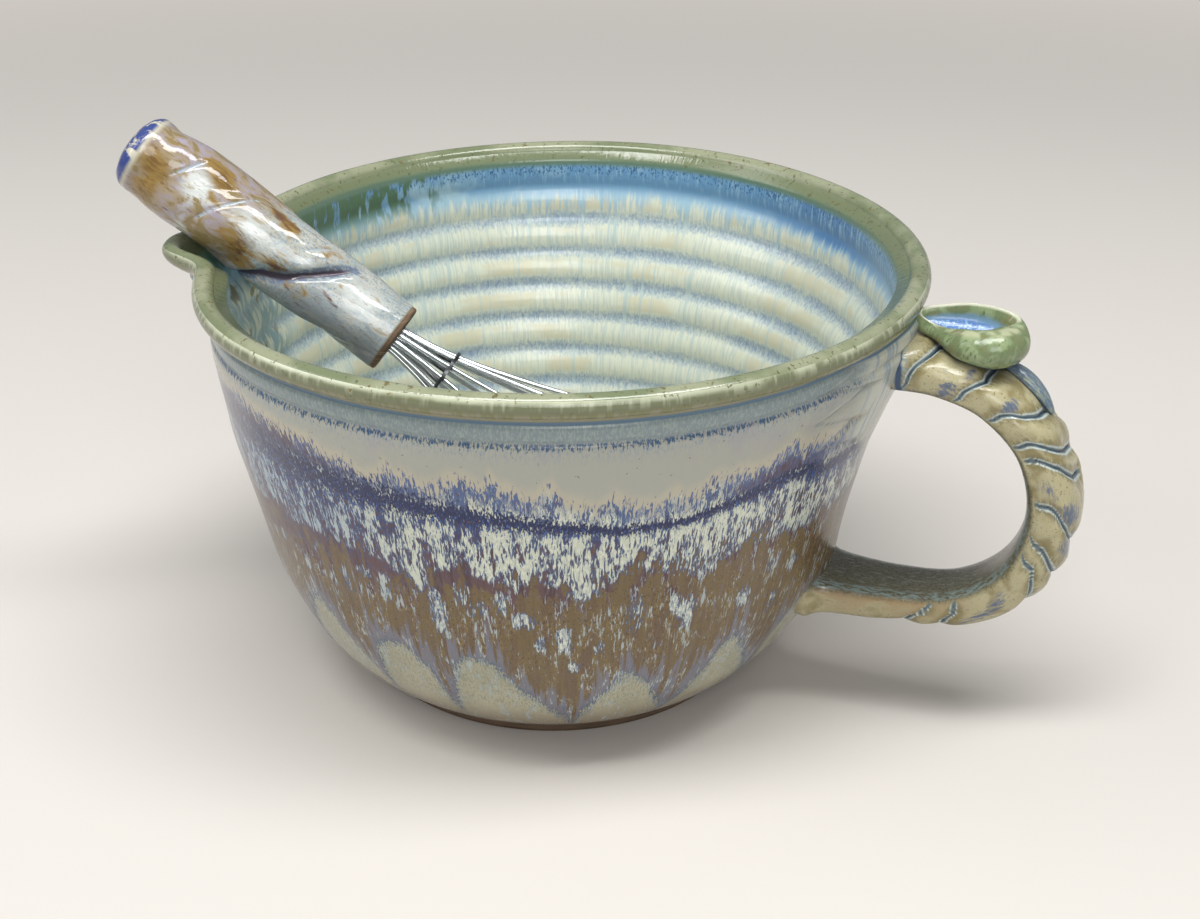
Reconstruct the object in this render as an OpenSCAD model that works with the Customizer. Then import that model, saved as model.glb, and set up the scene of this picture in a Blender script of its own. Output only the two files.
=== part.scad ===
// Stoneware batter bowl with a pour spout, a twisted pull handle and its own balloon whisk.
// The origin is the centre of the foot on the table, +Z is up and the handle lies along +X.

/* [Bowl] */
// Outer diameter of the rim
rim_d = 200; // [186:1:214]
// Height of the bowl from the table to the top of the rim
bowl_h = 118.8; // [112:0.1:127]
// Outer diameter of the unglazed foot where it meets the table
foot_d = 107.6; // [101:0.1:115]
// Height of the unglazed band at the foot
foot_band_h = 6.5; // [5:0.5:9]
// Depth of the turned recess under the foot
foot_recess = 4; // [2:0.1:5]
// Width of the ring that the bowl stands on
foot_ring_w = 8; // [6:0.5:12]
// Thickness of the wall
wall_t = 5.6; // [4.5:0.1:7]
// Thickness of the floor above the table
floor_t = 11.5; // [9.5:0.1:12.5]
// Diameter of the rolled rim
rim_roll_d = 5.8; // [5:0.1:7]
// Height from one throwing ring to the next inside the bowl
ring_pitch = 10; // [8.6:0.1:12]
// Depth of the hollow between two throwing rings
ring_depth = 1.1; // [0.4:0.1:1.6]
// Depth of the two turned lines below the rim
line_depth = 0.7; // [0.3:0.1:1]
// Width of a turned line
line_w = 2; // [1.5:0.1:2.4]
// Height from one turned line to the other
line_gap = 5.2; // [4.6:0.1:7]

/* [Spout] */
// Direction of the spout, anticlockwise from the handle, in degrees
spout_turn = 197.5; // [185:0.5:205]
// How far the lip of the spout stands out from the round rim
lip_out = 5.8; // [3:0.1:8]
// How far the rim is pinched in at the sides of the spout
pinch_in = 7; // [4:0.1:9]
// Height of wall that the pinch reaches down
pinch_h = 48; // [36:1:60]
// Height of wall that the lip takes to stand out
lip_h = 30; // [22:1:36]

/* [Handle] */
// Distance that the handle stands out from the wall, at the middle of its strap
handle_out = 53; // [44:1:60]
// How high the rim stands over the upper root of the handle
handle_high = 17.8; // [16.4:0.1:23.2]
// Height of the lower root of the handle
handle_low = 31; // [28.5:0.5:37]
// Width of the strap
handle_w = 21; // [17:0.5:24]
// Thickness of the strap at its thickest
handle_t = 13.6; // [11:0.1:15]
// Depth of the grooves that the twist leaves
groove_depth = 1.6; // [0.6:0.1:2]
// Width of one groove
groove_w = 4.4; // [3:0.1:5]
// Diameter of the strand that lies on the back of the strap
strand_d = 5.8; // [4.6:0.2:7.4]

/* [Thumb rest] */
// Length of the thumb rest, out from the rim
thumb_l = 31.5; // [28:0.5:34]
// Width of the thumb rest
thumb_w = 21; // [18:0.5:24]
// Height of the thumb rest
thumb_h = 9.6; // [8:0.1:12]
// Slope of the thumb rest, in degrees
thumb_slope = 13; // [10:0.5:18]

/* [Whisk] */
// Length of the pottery handle of the whisk
grip_l = 87.5; // [78:0.5:96]
// Diameter of the pottery handle at its thickest
grip_d = 24.4; // [20:0.1:27]
// Diameter of the pottery handle at its mouth
mouth_d = 21.4; // [18:0.1:23]
// Diameter of the bore that holds the wires
bore_d = 9.4; // [9:0.1:11]
// Depth of the bore
bore_l = 15; // [13:0.5:20]
// Diameter of the wire
wire_d = 1.5; // [1.2:0.1:1.7]
// Length of the wires outside the handle
balloon_l = 121.5; // [116:0.5:125]
// Diameter of the balloon of wires at its widest
balloon_d = 48; // [44:1:52]
// Diameter of the disc that spreads the wires
disc_d = 15; // [14:0.5:18]
// Width of steel between the holes of the disc and its edge
disc_edge = 0.45; // [0.35:0.05:1]
// Thickness of the disc
disc_t = 0.9; // [0.7:0.1:1.4]

/* [Resting place] */
// Direction that the whisk points along, anticlockwise from the handle, in degrees
whisk_turn = 9; // [6:0.5:13]
// How far to one side of the middle of the spout the whisk lies, in degrees
rest_side = 2.5; // [0:0.5:4]
// Slope of the whisk, in degrees
whisk_slope = 35.6; // [33:0.2:38]
// Running gap between the whisk and the bowl
rest_gap = 0.35; // [0.3:0.05:0.6]

/* [Hidden] */
$fn = 64;

// Helpers for curves: a smooth line through hand-chosen points, and its direction
function along(list, u) =
    let (last = len(list) - 1, v = min(max(u, 0), 1) * last, i = min(floor(v), last - 1), t = v - i)
    let (a = list[max(i - 1, 0)], b = list[i], c = list[i + 1], d = list[min(i + 2, last)])
    b + (c - a) * t / 2 + (2 * a - 5 * b + 4 * c - d) * t * t / 2 + (3 * b - a - 3 * c + d) * t * t * t / 2;
function unit(v) = v / norm(v);
function step(t) = let (s = min(max(t, 0), 1)) s * s * (3 - 2 * s);
function blend(a, b, t) = a + (b - a) * t;
function bump(x) = exp(-x * x);
function power(x, e) = sign(x) * pow(abs(x), e);
function turned(a) = (a % 360 + 540) % 360 - 180;

// A closed skin over rings of points, with a fan on the first and the last ring
function skin_faces(rings, sides) = concat(
    [for (i = [1 : sides - 2]) [0, i, i + 1]],
    [for (j = [0 : rings - 2], i = [0 : sides - 1])
        let (k = (i + 1) % sides, a = j * sides + i, b = j * sides + k)
        each [[a, a + sides, b + sides], [a, b + sides, b]]],
    [for (i = [1 : sides - 2]) let (o = (rings - 1) * sides) [o, o + i + 1, o + i]]
);
module skin(rings) {
    sides = len(rings[0]);
    polyhedron(points = [for (r = rings) each r], faces = skin_faces(len(rings), sides), convexity = 8);
}

// Outer line of the wall: height and radius as shares of the way from foot to rim
wall_shares = [
    [0, 0],
    [0.04, 0.12],
    [0.09, 0.24],
    [0.15, 0.335],
    [0.22, 0.43],
    [0.305, 0.52],
    [0.5, 0.642],
    [0.7, 0.775],
    [0.885, 0.93],
    [1, 0.972]
];
rim_r = rim_d / 2;
roll_r = rim_roll_d / 2;
roll_x = rim_r - roll_r;
roll_z = bowl_h - roll_r;
foot_r = foot_d / 2;
foot_edge = 1;
glaze_step = 0.6;
foot_flare = 5.3;
base_r = foot_r + foot_flare;
wall_top = roll_z - roll_r;
function share_at(list, v, i = 0) =
    i >= len(list) - 2 || v <= list[i + 1][0]
        ? blend(list[i][1], list[i + 1][1], (v - list[i][0]) / (list[i + 1][0] - list[i][0]))
        : share_at(list, v, i + 1);
// The straight stretches between the shares are eased by averaging over a short height
ease_share = 0.03;
function eased(v) = (share_at(wall_shares, v - ease_share)
    + 2 * share_at(wall_shares, v) + share_at(wall_shares, v + ease_share)) / 4;
function wall_share(z) = let (v = (z - foot_band_h) / (wall_top - foot_band_h))
    min(max(v, ease_share), 1) == v ? eased(v) : share_at(wall_shares, v);
function wall_r(z) = base_r + glaze_step + (roll_x - base_r) * wall_share(z);

// Inner line: the wall's thickness inside the outer line, with throwing rings on it
floor_round = 26;
function ring_wave(z) = ring_depth * (cos(360 * (z - floor_t) / ring_pitch) - 1) / 2;
function inner_r(z) =
    let (low = (z - floor_t) / floor_round, calm = step((wall_top - z) / ring_pitch))
    wall_r(max(z, floor_t + floor_round)) - wall_t - ring_wave(z) * calm
        - (z < floor_t + floor_round ? floor_corner(1 - low) : 0);
// The corner between wall and floor is a quarter of an oval
corner_share = 0.5;
function floor_corner(v) = (roll_x * corner_share) * (1 - sqrt(max(1 - v * v, 0)));

// The spout: the rim is pinched in on both sides and a narrow lip runs out between them
lip_turn_w = 7.2;
near_turn_w = 34;
far_turn_w = 56;
far_pinch_share = 1.22;
function pinched(d) = pinch_in * (d > 0
    ? bump(d / near_turn_w)
    : blend(1, far_pinch_share, step(-d / near_turn_w)) * bump(d / far_turn_w));
function lipped(d) = (lip_out + pinch_in) * exp(-pow(abs(d) / lip_turn_w, 2.6));
function lip_rise(z) = step((z - (bowl_h - lip_h)) / lip_h);
function pinch_rise(z) = step((z - (bowl_h - pinch_h)) / pinch_h);
// The thrown rim is not quite round: it swells opposite the spout's nearer side
sway = 2.6;
sway_turn = 90;
sway_turn_w = 30;
function swayed(a) = sway * bump(turned(a - sway_turn) / sway_turn_w);
function rim_shift(a, z) = let (d = turned(a - spout_turn))
    lipped(d) * pow(lip_rise(z), 1.6) + (swayed(a) - pinched(d)) * pinch_rise(z);

// Bowl outline from the middle of the foot up the outside, over the rim and down to the floor
outer_rows = 10;
rows_per_ring = 3;
corner_rows = 4;
roll_turns = [-42, -12, 18, 50, 90, 130, 175];
line_heights = [wall_top - line_w - line_gap, wall_top - line_w];
wall_rise = 3;
first_wall_z = foot_band_h + wall_rise;
last_wall_z = line_heights[0] - line_w;
top_inner_z = roll_z - roll_r / 2;
low_inner_z = floor_t + floor_round / 2;
row_step = ring_pitch / rows_per_ring;
top_ring_row = floor((wall_top - floor_t) / row_step);
low_ring_row = ceil((low_inner_z + row_step / 2 - floor_t) / row_step);
inner_heights = concat(
    [top_inner_z],
    [for (i = [top_ring_row : -1 : low_ring_row]) floor_t + i * row_step],
    [low_inner_z]
);
floor_share = 0.784;
floor_r = foot_r * floor_share;
function turned_line(z) = [
    [wall_r(z - line_w / 2), z - line_w / 2],
    [wall_r(z) - line_depth, z],
    [wall_r(z + line_w / 2), z + line_w / 2]
];
bowl_outline = concat(
    [[foot_r - foot_edge, 0], [foot_r, foot_edge], [base_r, foot_band_h]],
    [[base_r + glaze_step, foot_band_h + glaze_step]],
    [for (i = [0 : outer_rows]) let (z = blend(first_wall_z, last_wall_z, i / outer_rows)) [wall_r(z), z]],
    turned_line(line_heights[0]),
    turned_line(line_heights[1]),
    [for (a = roll_turns) [roll_x + roll_r * cos(a), roll_z + roll_r * sin(a)]],
    [for (z = inner_heights) [inner_r(z), z]],
    [for (i = [1 : corner_rows]) let (t = 90 * i / corner_rows, r = inner_r(low_inner_z))
        [blend(floor_r, r, cos(t)), blend(floor_t, low_inner_z, 1 - sin(t))]]
);

// Columns round the bowl stand closer together at the spout
columns = 60;
crowding_share = 0.35;
function column_turn(i) = let (t = 2 * i / columns - 1)
    spout_turn + 180 * t - crowding_share * 180 / PI * sin(180 * t);

module bowl_body() {
    rows = len(bowl_outline);
    rings = [for (p = bowl_outline)
        [for (i = [0 : columns - 1]) let (a = column_turn(i), r = p[0] + rim_shift(a, p[1]))
            [r * cos(a), r * sin(a), p[1]]]];
    poles = [[0, 0, 0], [0, 0, floor_t]];
    count = rows * columns;
    faces = concat(
        [for (i = [0 : columns - 1]) [count, i, (i + 1) % columns]],
        [for (j = [0 : rows - 2], i = [0 : columns - 1])
            let (k = (i + 1) % columns, a = j * columns + i, b = j * columns + k)
            each [[a, a + columns, b + columns], [a, b + columns, b]]],
        [for (i = [0 : columns - 1]) let (o = count - columns) [count + 1, o + (i + 1) % columns, o + i]]
    );
    color("#8f8f86")
        difference() {
            polyhedron(points = concat([for (r = rings) each r], poles), faces = faces, convexity = 8);
            translate([0, 0, -foot_recess])
                cylinder(r = foot_r - foot_edge - foot_ring_w, h = 2 * foot_recess);
        }
}

// Middle line of the strap: distance out from the wall and height, as shares of the
// handle's reach and of the way between its roots, then thickness and width shares
handle_shares = [
    [0, 1, 0.96, 1.12],
    [0.24, 0.98, 0.84, 1.04],
    [0.53, 0.905, 0.82, 1],
    [0.83, 0.73, 0.9, 1],
    [1, 0.47, 1, 1],
    [0.965, 0.215, 0.97, 1],
    [0.735, 0.05, 0.83, 0.97],
    [0.39, 0.015, 0.75, 1],
    [0, 0.015, 0.86, 1.22]
];
// Places of the grooves along the strap, from the upper root
groove_shares = [0.055, 0.13, 0.21, 0.27, 0.3, 0.375, 0.425, 0.475, 0.6, 0.64];
groove_lean_share = 0.5;
handle_rings = 66;
handle_sides = 14;
function handle_line(u) = let (p = along(handle_shares, u), z = blend(handle_low, bowl_h - handle_high, p[1]))
    [wall_r(z) + handle_out * p[0], 0, z, handle_t * p[2], handle_w * p[3]];
function handle_at(u) = let (p = handle_line(u)) [p[0], p[1], p[2]];
bit_share = 0.004;
function handle_dir(u) = unit(handle_at(min(u + bit_share, 1)) - handle_at(max(u - bit_share, 0)));
function handle_out_dir(u) = let (d = handle_dir(u)) [-d[2], 0, d[0]];
// Length of the strap along its middle line, as a share of its reach
length_share = 3.6;
handle_len = length_share * handle_out;
function groove_cut(u) =
    groove_depth * max([for (g = groove_shares) bump((u - g) * handle_len / groove_w * 2)]);
// The inner face is nearly flat and the back is round
flat_share = 0.42;
round_share = 0.85;
side_share = 0.8;
function strap_point(u, i) =
    let (a = 360 * i / handle_sides, p = handle_line(u), back = max(sin(a), 0))
    let (n = p[3] / 2 * power(sin(a), sin(a) > 0 ? round_share : flat_share))
    let (y = p[4] / 2 * power(cos(a), side_share))
    let (calm = step(u * 12) * step((1 - u) * 12), v = u + groove_lean_share * calm * n / handle_len)
    let (cut = groove_cut(u) * max(back, step(abs(cos(a)))) * calm)
    handle_at(v) + handle_out_dir(v) * (n - cut * back) + [0, y * (1 - cut / p[4]), 0];
// A root ends on the curved wall: its last points are carried along X onto the wall
function on_wall(p) = let (r = wall_r(p[2])) [sqrt(max(r * r - p[1] * p[1], 0)), p[1], p[2]];
root_rise_share = 0.16;
function off_wall(p, u) =
    [max(p[0], on_wall(p)[0] + handle_len * min(u, 1 - u) * root_rise_share), p[1], p[2]];
function root_ring(u, share) = let (c = handle_at(u))
    [for (i = [0 : handle_sides - 1]) on_wall(c + (strap_point(u, i) - c) * share)];
root_shares = [0.02, 0.4, 0.75, 1];

module handle() {
    rings = concat(
        [for (s = root_shares) root_ring(0, s)],
        [for (j = [1 : handle_rings - 1]) [for (i = [0 : handle_sides - 1])
            off_wall(strap_point(j / handle_rings, i), j / handle_rings)]],
        [for (j = [0 : len(root_shares) - 1]) root_ring(1, root_shares[len(root_shares) - 1 - j])]
    );
    color("#b79a64")
        skin(rings);
}

// The strand lies on the back of the strap and sinks away at both ends
strand_from_share = 0.21;
strand_to_share = 0.335;
strand_rings = 26;
strand_sides = 8;
strand_side_share = 0.2;
strand_flat_share = 0.72;
strand_seat_share = 0.58;
function strand_fat(t) = pow(sin(180 * blend(0.06, 0.94, t)), 0.7);
function strand_ring(t) =
    let (u = blend(strand_from_share, strand_to_share, t), p = handle_line(u))
    let (r = strand_d / 2 * strand_fat(t))
    let (seat = p[3] / 2 - groove_depth / 2 + r * strand_seat_share)
    let (c = handle_at(u) + handle_out_dir(u) * seat + [0, p[4] * strand_side_share * blend(1, 0.4, t), 0])
    [for (i = [0 : strand_sides - 1]) let (a = 360 * i / strand_sides)
        c + handle_out_dir(u) * r * strand_flat_share * sin(a) + [0, r * cos(a), 0]];

module handle_strand() {
    color("#7f9089")
        skin([for (j = [0 : strand_rings]) strand_ring(j / strand_rings)]);
}

// The thumb rest is a leaf of clay, curled over on the near side into a thick roll round a hollow.
// Its outline, in shares of its length, width and height: a low tail at the wall, swelling to the free end
thumb_outline_shares = [
    [0.49, 0.04, 1.24],
    [0.37, 0.41, 1.34],
    [0.1, 0.49, 1.28],
    [-0.18, 0.4, 1.08],
    [-0.5, 0.18, 0.58],
    [-0.24, -0.05, 0.36],
    [0, -0.41, 0.76],
    [0.32, -0.4, 1.14]
];
thumb_corners = len(thumb_outline_shares);
thumb_outline_loop = concat(
    [thumb_outline_shares[thumb_corners - 1]],
    thumb_outline_shares,
    [thumb_outline_shares[0], thumb_outline_shares[1]]
);
function thumb_edge(a) = along(thumb_outline_loop, (1 + thumb_corners * a / 360) / (thumb_corners + 2));
// Both its edges run from the underside, over the crown and down into the hollow: outline and height shares
roll_shares = [
    [0.1, 0],
    [0.62, 0.02],
    [0.88, 0.14],
    [1, 0.42],
    [0.96, 0.72],
    [0.8, 0.95],
    [0.6, 1.02],
    [0.42, 0.93],
    [0.29, 0.7],
    [0.2, 0.5],
    [0.08, 0.42]
];
edge_shares = [
    [0.1, 0],
    [0.62, 0.02],
    [0.88, 0.14],
    [0.97, 0.4],
    [0.96, 0.66],
    [0.91, 0.84],
    [0.84, 0.9],
    [0.76, 0.79],
    [0.67, 0.56],
    [0.4, 0.44],
    [0.08, 0.42]
];
hollow_shares = [-0.02, 0.14, 0.8];
thumb_sides = 20;
thumb_rows = 18;
roll_turn = -60;
function curl_share(a) = step((cos(a - roll_turn) + 0.35) / 1.1);
function thumb_point(t, a) =
    let (p = blend(along(edge_shares, t), along(roll_shares, t), curl_share(a)))
    let (q = blend(hollow_shares, thumb_edge(a), p[0]))
    [thumb_l * q[0], thumb_w * q[1], thumb_h * p[1] * q[2]];
thumb_seat_share = 0.09;
thumb_sink = 0.2;
thumb_tuck = 1.3;

module thumb_rest() {
    seat = handle_line(thumb_seat_share);
    seat_z = seat[2] + seat[3] / 2 - groove_depth - thumb_sink;
    centre = [wall_r(seat_z + thumb_h / 2) - thumb_tuck + thumb_l / 2 * cos(thumb_slope), 0, seat_z];
    color("#7d9a6a")
        translate(centre)
        rotate([0, thumb_slope, 0])
        skin([for (j = [0 : thumb_rows])
            [for (i = [0 : thumb_sides - 1]) thumb_point(j / thumb_rows, 360 * i / thumb_sides)]]);
}

// The whisk leans on the lip of the spout and on the inside of the bowl.
// It slides down along itself until the end of the balloon is seated, and halving finds how far.
grip_r = grip_d / 2;
flute_depth = 1;
lip_place = rim_r - roll_r / 2;
lip_dir = [cos(spout_turn - rest_side), sin(spout_turn - rest_side), 0];
whisk_dir = [cos(whisk_slope) * cos(whisk_turn), cos(whisk_slope) * sin(whisk_turn), -sin(whisk_slope)];
lip_point = lip_dir * lip_place + [0, 0, bowl_h + (grip_r - flute_depth + rest_gap) / cos(whisk_slope)];
// The end of the balloon is close to a ball of this share of its diameter
end_ball_share = 0.46;
end_ball_r = balloon_d * end_ball_share + wire_d / 2;
function end_room(reach) =
    let (c = lip_point + whisk_dir * reach, lean = wall_r(c[2] + ring_pitch) - wall_r(c[2]))
    let (side = (inner_r(c[2]) - ring_depth - norm([c[0], c[1]])) * ring_pitch / norm([lean, ring_pitch]))
    min(side, c[2] - floor_t) - end_ball_r - rest_gap;
function seated(near, far, n) = n == 0 ? near
    : let (mid = (near + far) / 2) end_room(mid) > 0 ? seated(mid, far, n - 1) : seated(near, mid, n - 1);
end_reach = seated(rim_r, 2 * rim_r, 20);
mouth_place = lip_point + whisk_dir * (end_reach + end_ball_r - balloon_l - wire_d / 2);

// Places its children with local +Z along the wires and the origin at the mouth of the grip
module at_mouth() {
    translate(mouth_place)
        rotate([0, 90 + whisk_slope, whisk_turn])
        children();
}

// Grip outline from its closed end to the mouth: length share and radius share
grip_shares = [
    [0, 0.2],
    [0.01, 0.52],
    [0.024, 0.75],
    [0.045, 0.89],
    [0.07, 0.915],
    [0.1, 0.92],
    [0.15, 0.98],
    [0.25, 1],
    [0.5, 0.97],
    [0.75, 0.92],
    [0.94, 0.885],
    [1, 0.86]
];
grip_rings = 38;
grip_sides = 24;
flutes = 3;
flute_turns = 260;
band_turns = 570;
band_depth = 1.4;
band_width = 26;
mouth_share = mouth_d / grip_d;
function grip_radius(v, a) =
    let (r = grip_r * share_at(grip_shares, v), calm = step(v * 7) * step((1 - v) * 14 + 0.25))
    let (flute = flute_depth * (1 - abs(cos(flutes * (a + flute_turns * v) / 2))))
    let (band = band_depth * bump(turned(a + band_turns * (v - 0.4)) / band_width) * step((0.72 - v) * 9))
    let (taper = blend(1, mouth_share / grip_shares[len(grip_shares) - 2][1], step(v)))
    r * taper - (flute + band) * calm;
// Rings stand close together at the rounded end
function grip_station(j) = pow(j / grip_rings, 1.35);

module whisk_grip() {
    rings = [for (j = [0 : grip_rings]) let (v = grip_station(j))
        [for (i = [0 : grip_sides - 1]) let (a = 360 * i / grip_sides, r = grip_radius(v, a))
            [r * cos(a), r * sin(a), grip_l * (v - 1)]]];
    color("#c2a173")
        at_mouth()
        difference() {
            skin(rings);
            translate([0, 0, -bore_l])
                cylinder(d = bore_d, h = 2 * bore_l);
        }
}

// The hard plug in the bore holds every leg in a hole of its own
wire_r = wire_d / 2;
socket_gap = 0.09;
socket_in = 1.4;
socket_end = 0.4;
socket_edge = 0.5;
neck_r = bore_d / 2 - socket_gap - socket_edge - wire_r;

// The disc sits a short way down the wires, which pass through ten holes
disc_share = 0.1325;
hole_gap = 0.3;
hole_ring = disc_d / 2 - disc_edge - hole_gap - wire_r;

// Shape of one wire leg: length share of the balloon, then how much of the neck's radius,
// of the radius at the disc and of the balloon's radius make up its distance from the middle
leg_start_share = -0.1;
leg_shares = [
    [leg_start_share, 1, 0, 0],
    [-0.03, 1, 0, 0],
    [0.03, 0.88, 0.12, 0],
    [disc_share, 0, 1, 0],
    [0.316, 0, 0, 0.52],
    [0.51, 0, 0, 0.82],
    [0.694, 0, 0, 0.99],
    [0.847, 0, 0, 0.93],
    [0.949, 0, 0, 0.65],
    [0.995, 0, 0, 0.27],
    [1, 0, 0, 0]
];
other_shares = [for (i = [1 : len(leg_shares) - 1])
    let (p = leg_shares[len(leg_shares) - 1 - i]) [p[0], -p[1], -p[2], -p[3]]];
loop_shares = concat(leg_shares, other_shares);
loops = 5;
loop_step = wire_d * 1.25;
loop_rings = 42;
wire_sides = 6;
leg_angle = 180 / loops;
function loop_at(k, u) = let (p = along(loop_shares, u))
    let (out = neck_r * p[1] + hole_ring * p[2] + balloon_d / 2 * p[3])
    [out, 0, balloon_l * p[0] - k * loop_step * step((p[0] - disc_share) * 1.6)];
function loop_dir(k, u) = unit(loop_at(k, min(u + bit_share, 1)) - loop_at(k, max(u - bit_share, 0)));

module wire_loop(k) {
    rings = [for (j = [0 : loop_rings]) let (u = j / loop_rings, c = loop_at(k, u), d = loop_dir(k, u))
        [for (i = [0 : wire_sides - 1]) let (a = 360 * i / wire_sides)
            c + [d[2], 0, -d[0]] * wire_r * cos(a) + [0, wire_r * sin(a), 0]]];
    color("#c9ccd0")
        at_mouth()
        rotate([0, 0, leg_angle * k])
        skin(rings);
}

module wire_socket() {
    plug_l = -leg_start_share * balloon_l + socket_end;
    color("#6f6a60")
        at_mouth()
        difference() {
            translate([0, 0, -plug_l])
                cylinder(r = bore_d / 2 - socket_gap, h = plug_l - socket_in);
            for (i = [0 : 2 * loops - 1])
                rotate([0, 0, leg_angle * i])
                translate([neck_r, 0, -plug_l + socket_end])
                cylinder(r = wire_r + socket_gap, h = plug_l);
        }
}

module spreader_disc() {
    color("#3c3e40")
        at_mouth()
        translate([0, 0, balloon_l * disc_share])
        difference() {
            cylinder(d = disc_d, h = disc_t, center = true);
            for (i = [0 : 2 * loops - 1])
                rotate([0, 0, leg_angle * i])
                translate([hole_ring, 0, 0])
                cylinder(r = wire_r + hole_gap, h = 2 * disc_t, center = true);
        }
}

bowl_body();
handle();
handle_strand();
thumb_rest();
whisk_grip();
wire_socket();
wire_loop(0);  // wire_loop_1
wire_loop(1);  // wire_loop_2
wire_loop(2);  // wire_loop_3
wire_loop(3);  // wire_loop_4
wire_loop(4);  // wire_loop_5
spreader_disc();
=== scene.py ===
import bpy
import numpy as np
from mathutils import Matrix, Vector


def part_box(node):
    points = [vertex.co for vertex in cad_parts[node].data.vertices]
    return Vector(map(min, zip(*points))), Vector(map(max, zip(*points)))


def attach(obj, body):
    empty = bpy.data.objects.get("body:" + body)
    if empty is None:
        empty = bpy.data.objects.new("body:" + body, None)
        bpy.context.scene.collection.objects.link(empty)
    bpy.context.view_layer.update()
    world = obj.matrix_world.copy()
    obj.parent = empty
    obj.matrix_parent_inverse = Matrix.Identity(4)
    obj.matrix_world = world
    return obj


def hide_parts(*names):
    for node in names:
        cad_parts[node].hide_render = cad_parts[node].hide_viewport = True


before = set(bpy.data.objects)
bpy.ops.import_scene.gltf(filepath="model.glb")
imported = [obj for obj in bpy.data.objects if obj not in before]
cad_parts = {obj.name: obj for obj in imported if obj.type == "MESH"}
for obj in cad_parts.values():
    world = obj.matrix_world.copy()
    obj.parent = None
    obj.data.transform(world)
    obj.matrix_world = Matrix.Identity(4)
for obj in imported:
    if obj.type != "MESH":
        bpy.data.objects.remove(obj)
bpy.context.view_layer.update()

mm = 0.001
print("frame loaded:", ", ".join(sorted(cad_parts)))


# Small curves that every piece uses
def smooth(t):  # 3t^2 - 2t^3 between 0 and 1
    t = np.clip(t, 0, 1)
    return t * t * (3 - 2 * t)


def bump(x):  # e^(-x^2)
    return np.exp(-x * x)


def blend(a, b, t):  # a at t = 0, b at t = 1
    return a + (b - a) * t


def turnedBy(angle):  # the same angle between -180 and 180 degrees
    return (angle + 180) % 360 - 180


def read(table, x):  # straight between the table's entries
    return np.interp(x, list(table), list(table.values()))


def along(points, u):  # Catmull-Rom curve through the rows of points, u from 0 to 1
    points = np.asarray(points, float)
    last = len(points) - 1
    v = np.clip(u, 0, 1) * last
    i = np.minimum(v.astype(int), last - 1)
    t = (v - i)[..., None]
    a, b, c, d = points[np.maximum(i - 1, 0)], points[i], points[i + 1], points[np.minimum(i + 2, last)]
    bend, twist = 2 * a - 5 * b + 4 * c - d, 3 * b - a - 3 * c + d
    return b + (c - a) * t / 2 + bend * t ** 2 / 2 + twist * t ** 3 / 2


def cloud(x, y, seed, cells=72):  # smooth noise from 0 to 1 that repeats every so many cells
    corners = np.random.default_rng(seed).random((cells, cells))
    i, j = np.floor(x).astype(int), np.floor(y).astype(int)
    u, v = smooth(x - i), smooth(y - j)
    low = blend(corners[i % cells, j % cells], corners[(i + 1) % cells, j % cells], u)
    high = blend(corners[i % cells, (j + 1) % cells], corners[(i + 1) % cells, (j + 1) % cells], u)
    return blend(low, high, v)


def spots(x, y, places, tilt=0.0):  # the strongest of soft ovals: strength * e^-(dx^2 + dy^2), x in degrees
    share = 0 * x + 0 * y
    for x0, y0, wide, tall, strength in places:
        across = bump(turnedBy(x - x0 + tilt * (y - y0)) / wide)
        share = np.maximum(share, strength * across * bump((y - y0) / tall))
    return share


def around(count):  # the angles of that many corners round a cut, as one row
    return np.linspace(0, 2 * np.pi, count, endpoint=False)[None, :]


def joined(*values):  # one vector at each place, from its coordinates
    return np.stack(np.broadcast_arrays(*values), -1)


def added(name, data):  # a new object in the scene
    thing = bpy.data.objects.new(name, data)
    bpy.context.scene.collection.objects.link(thing)
    return thing


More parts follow.
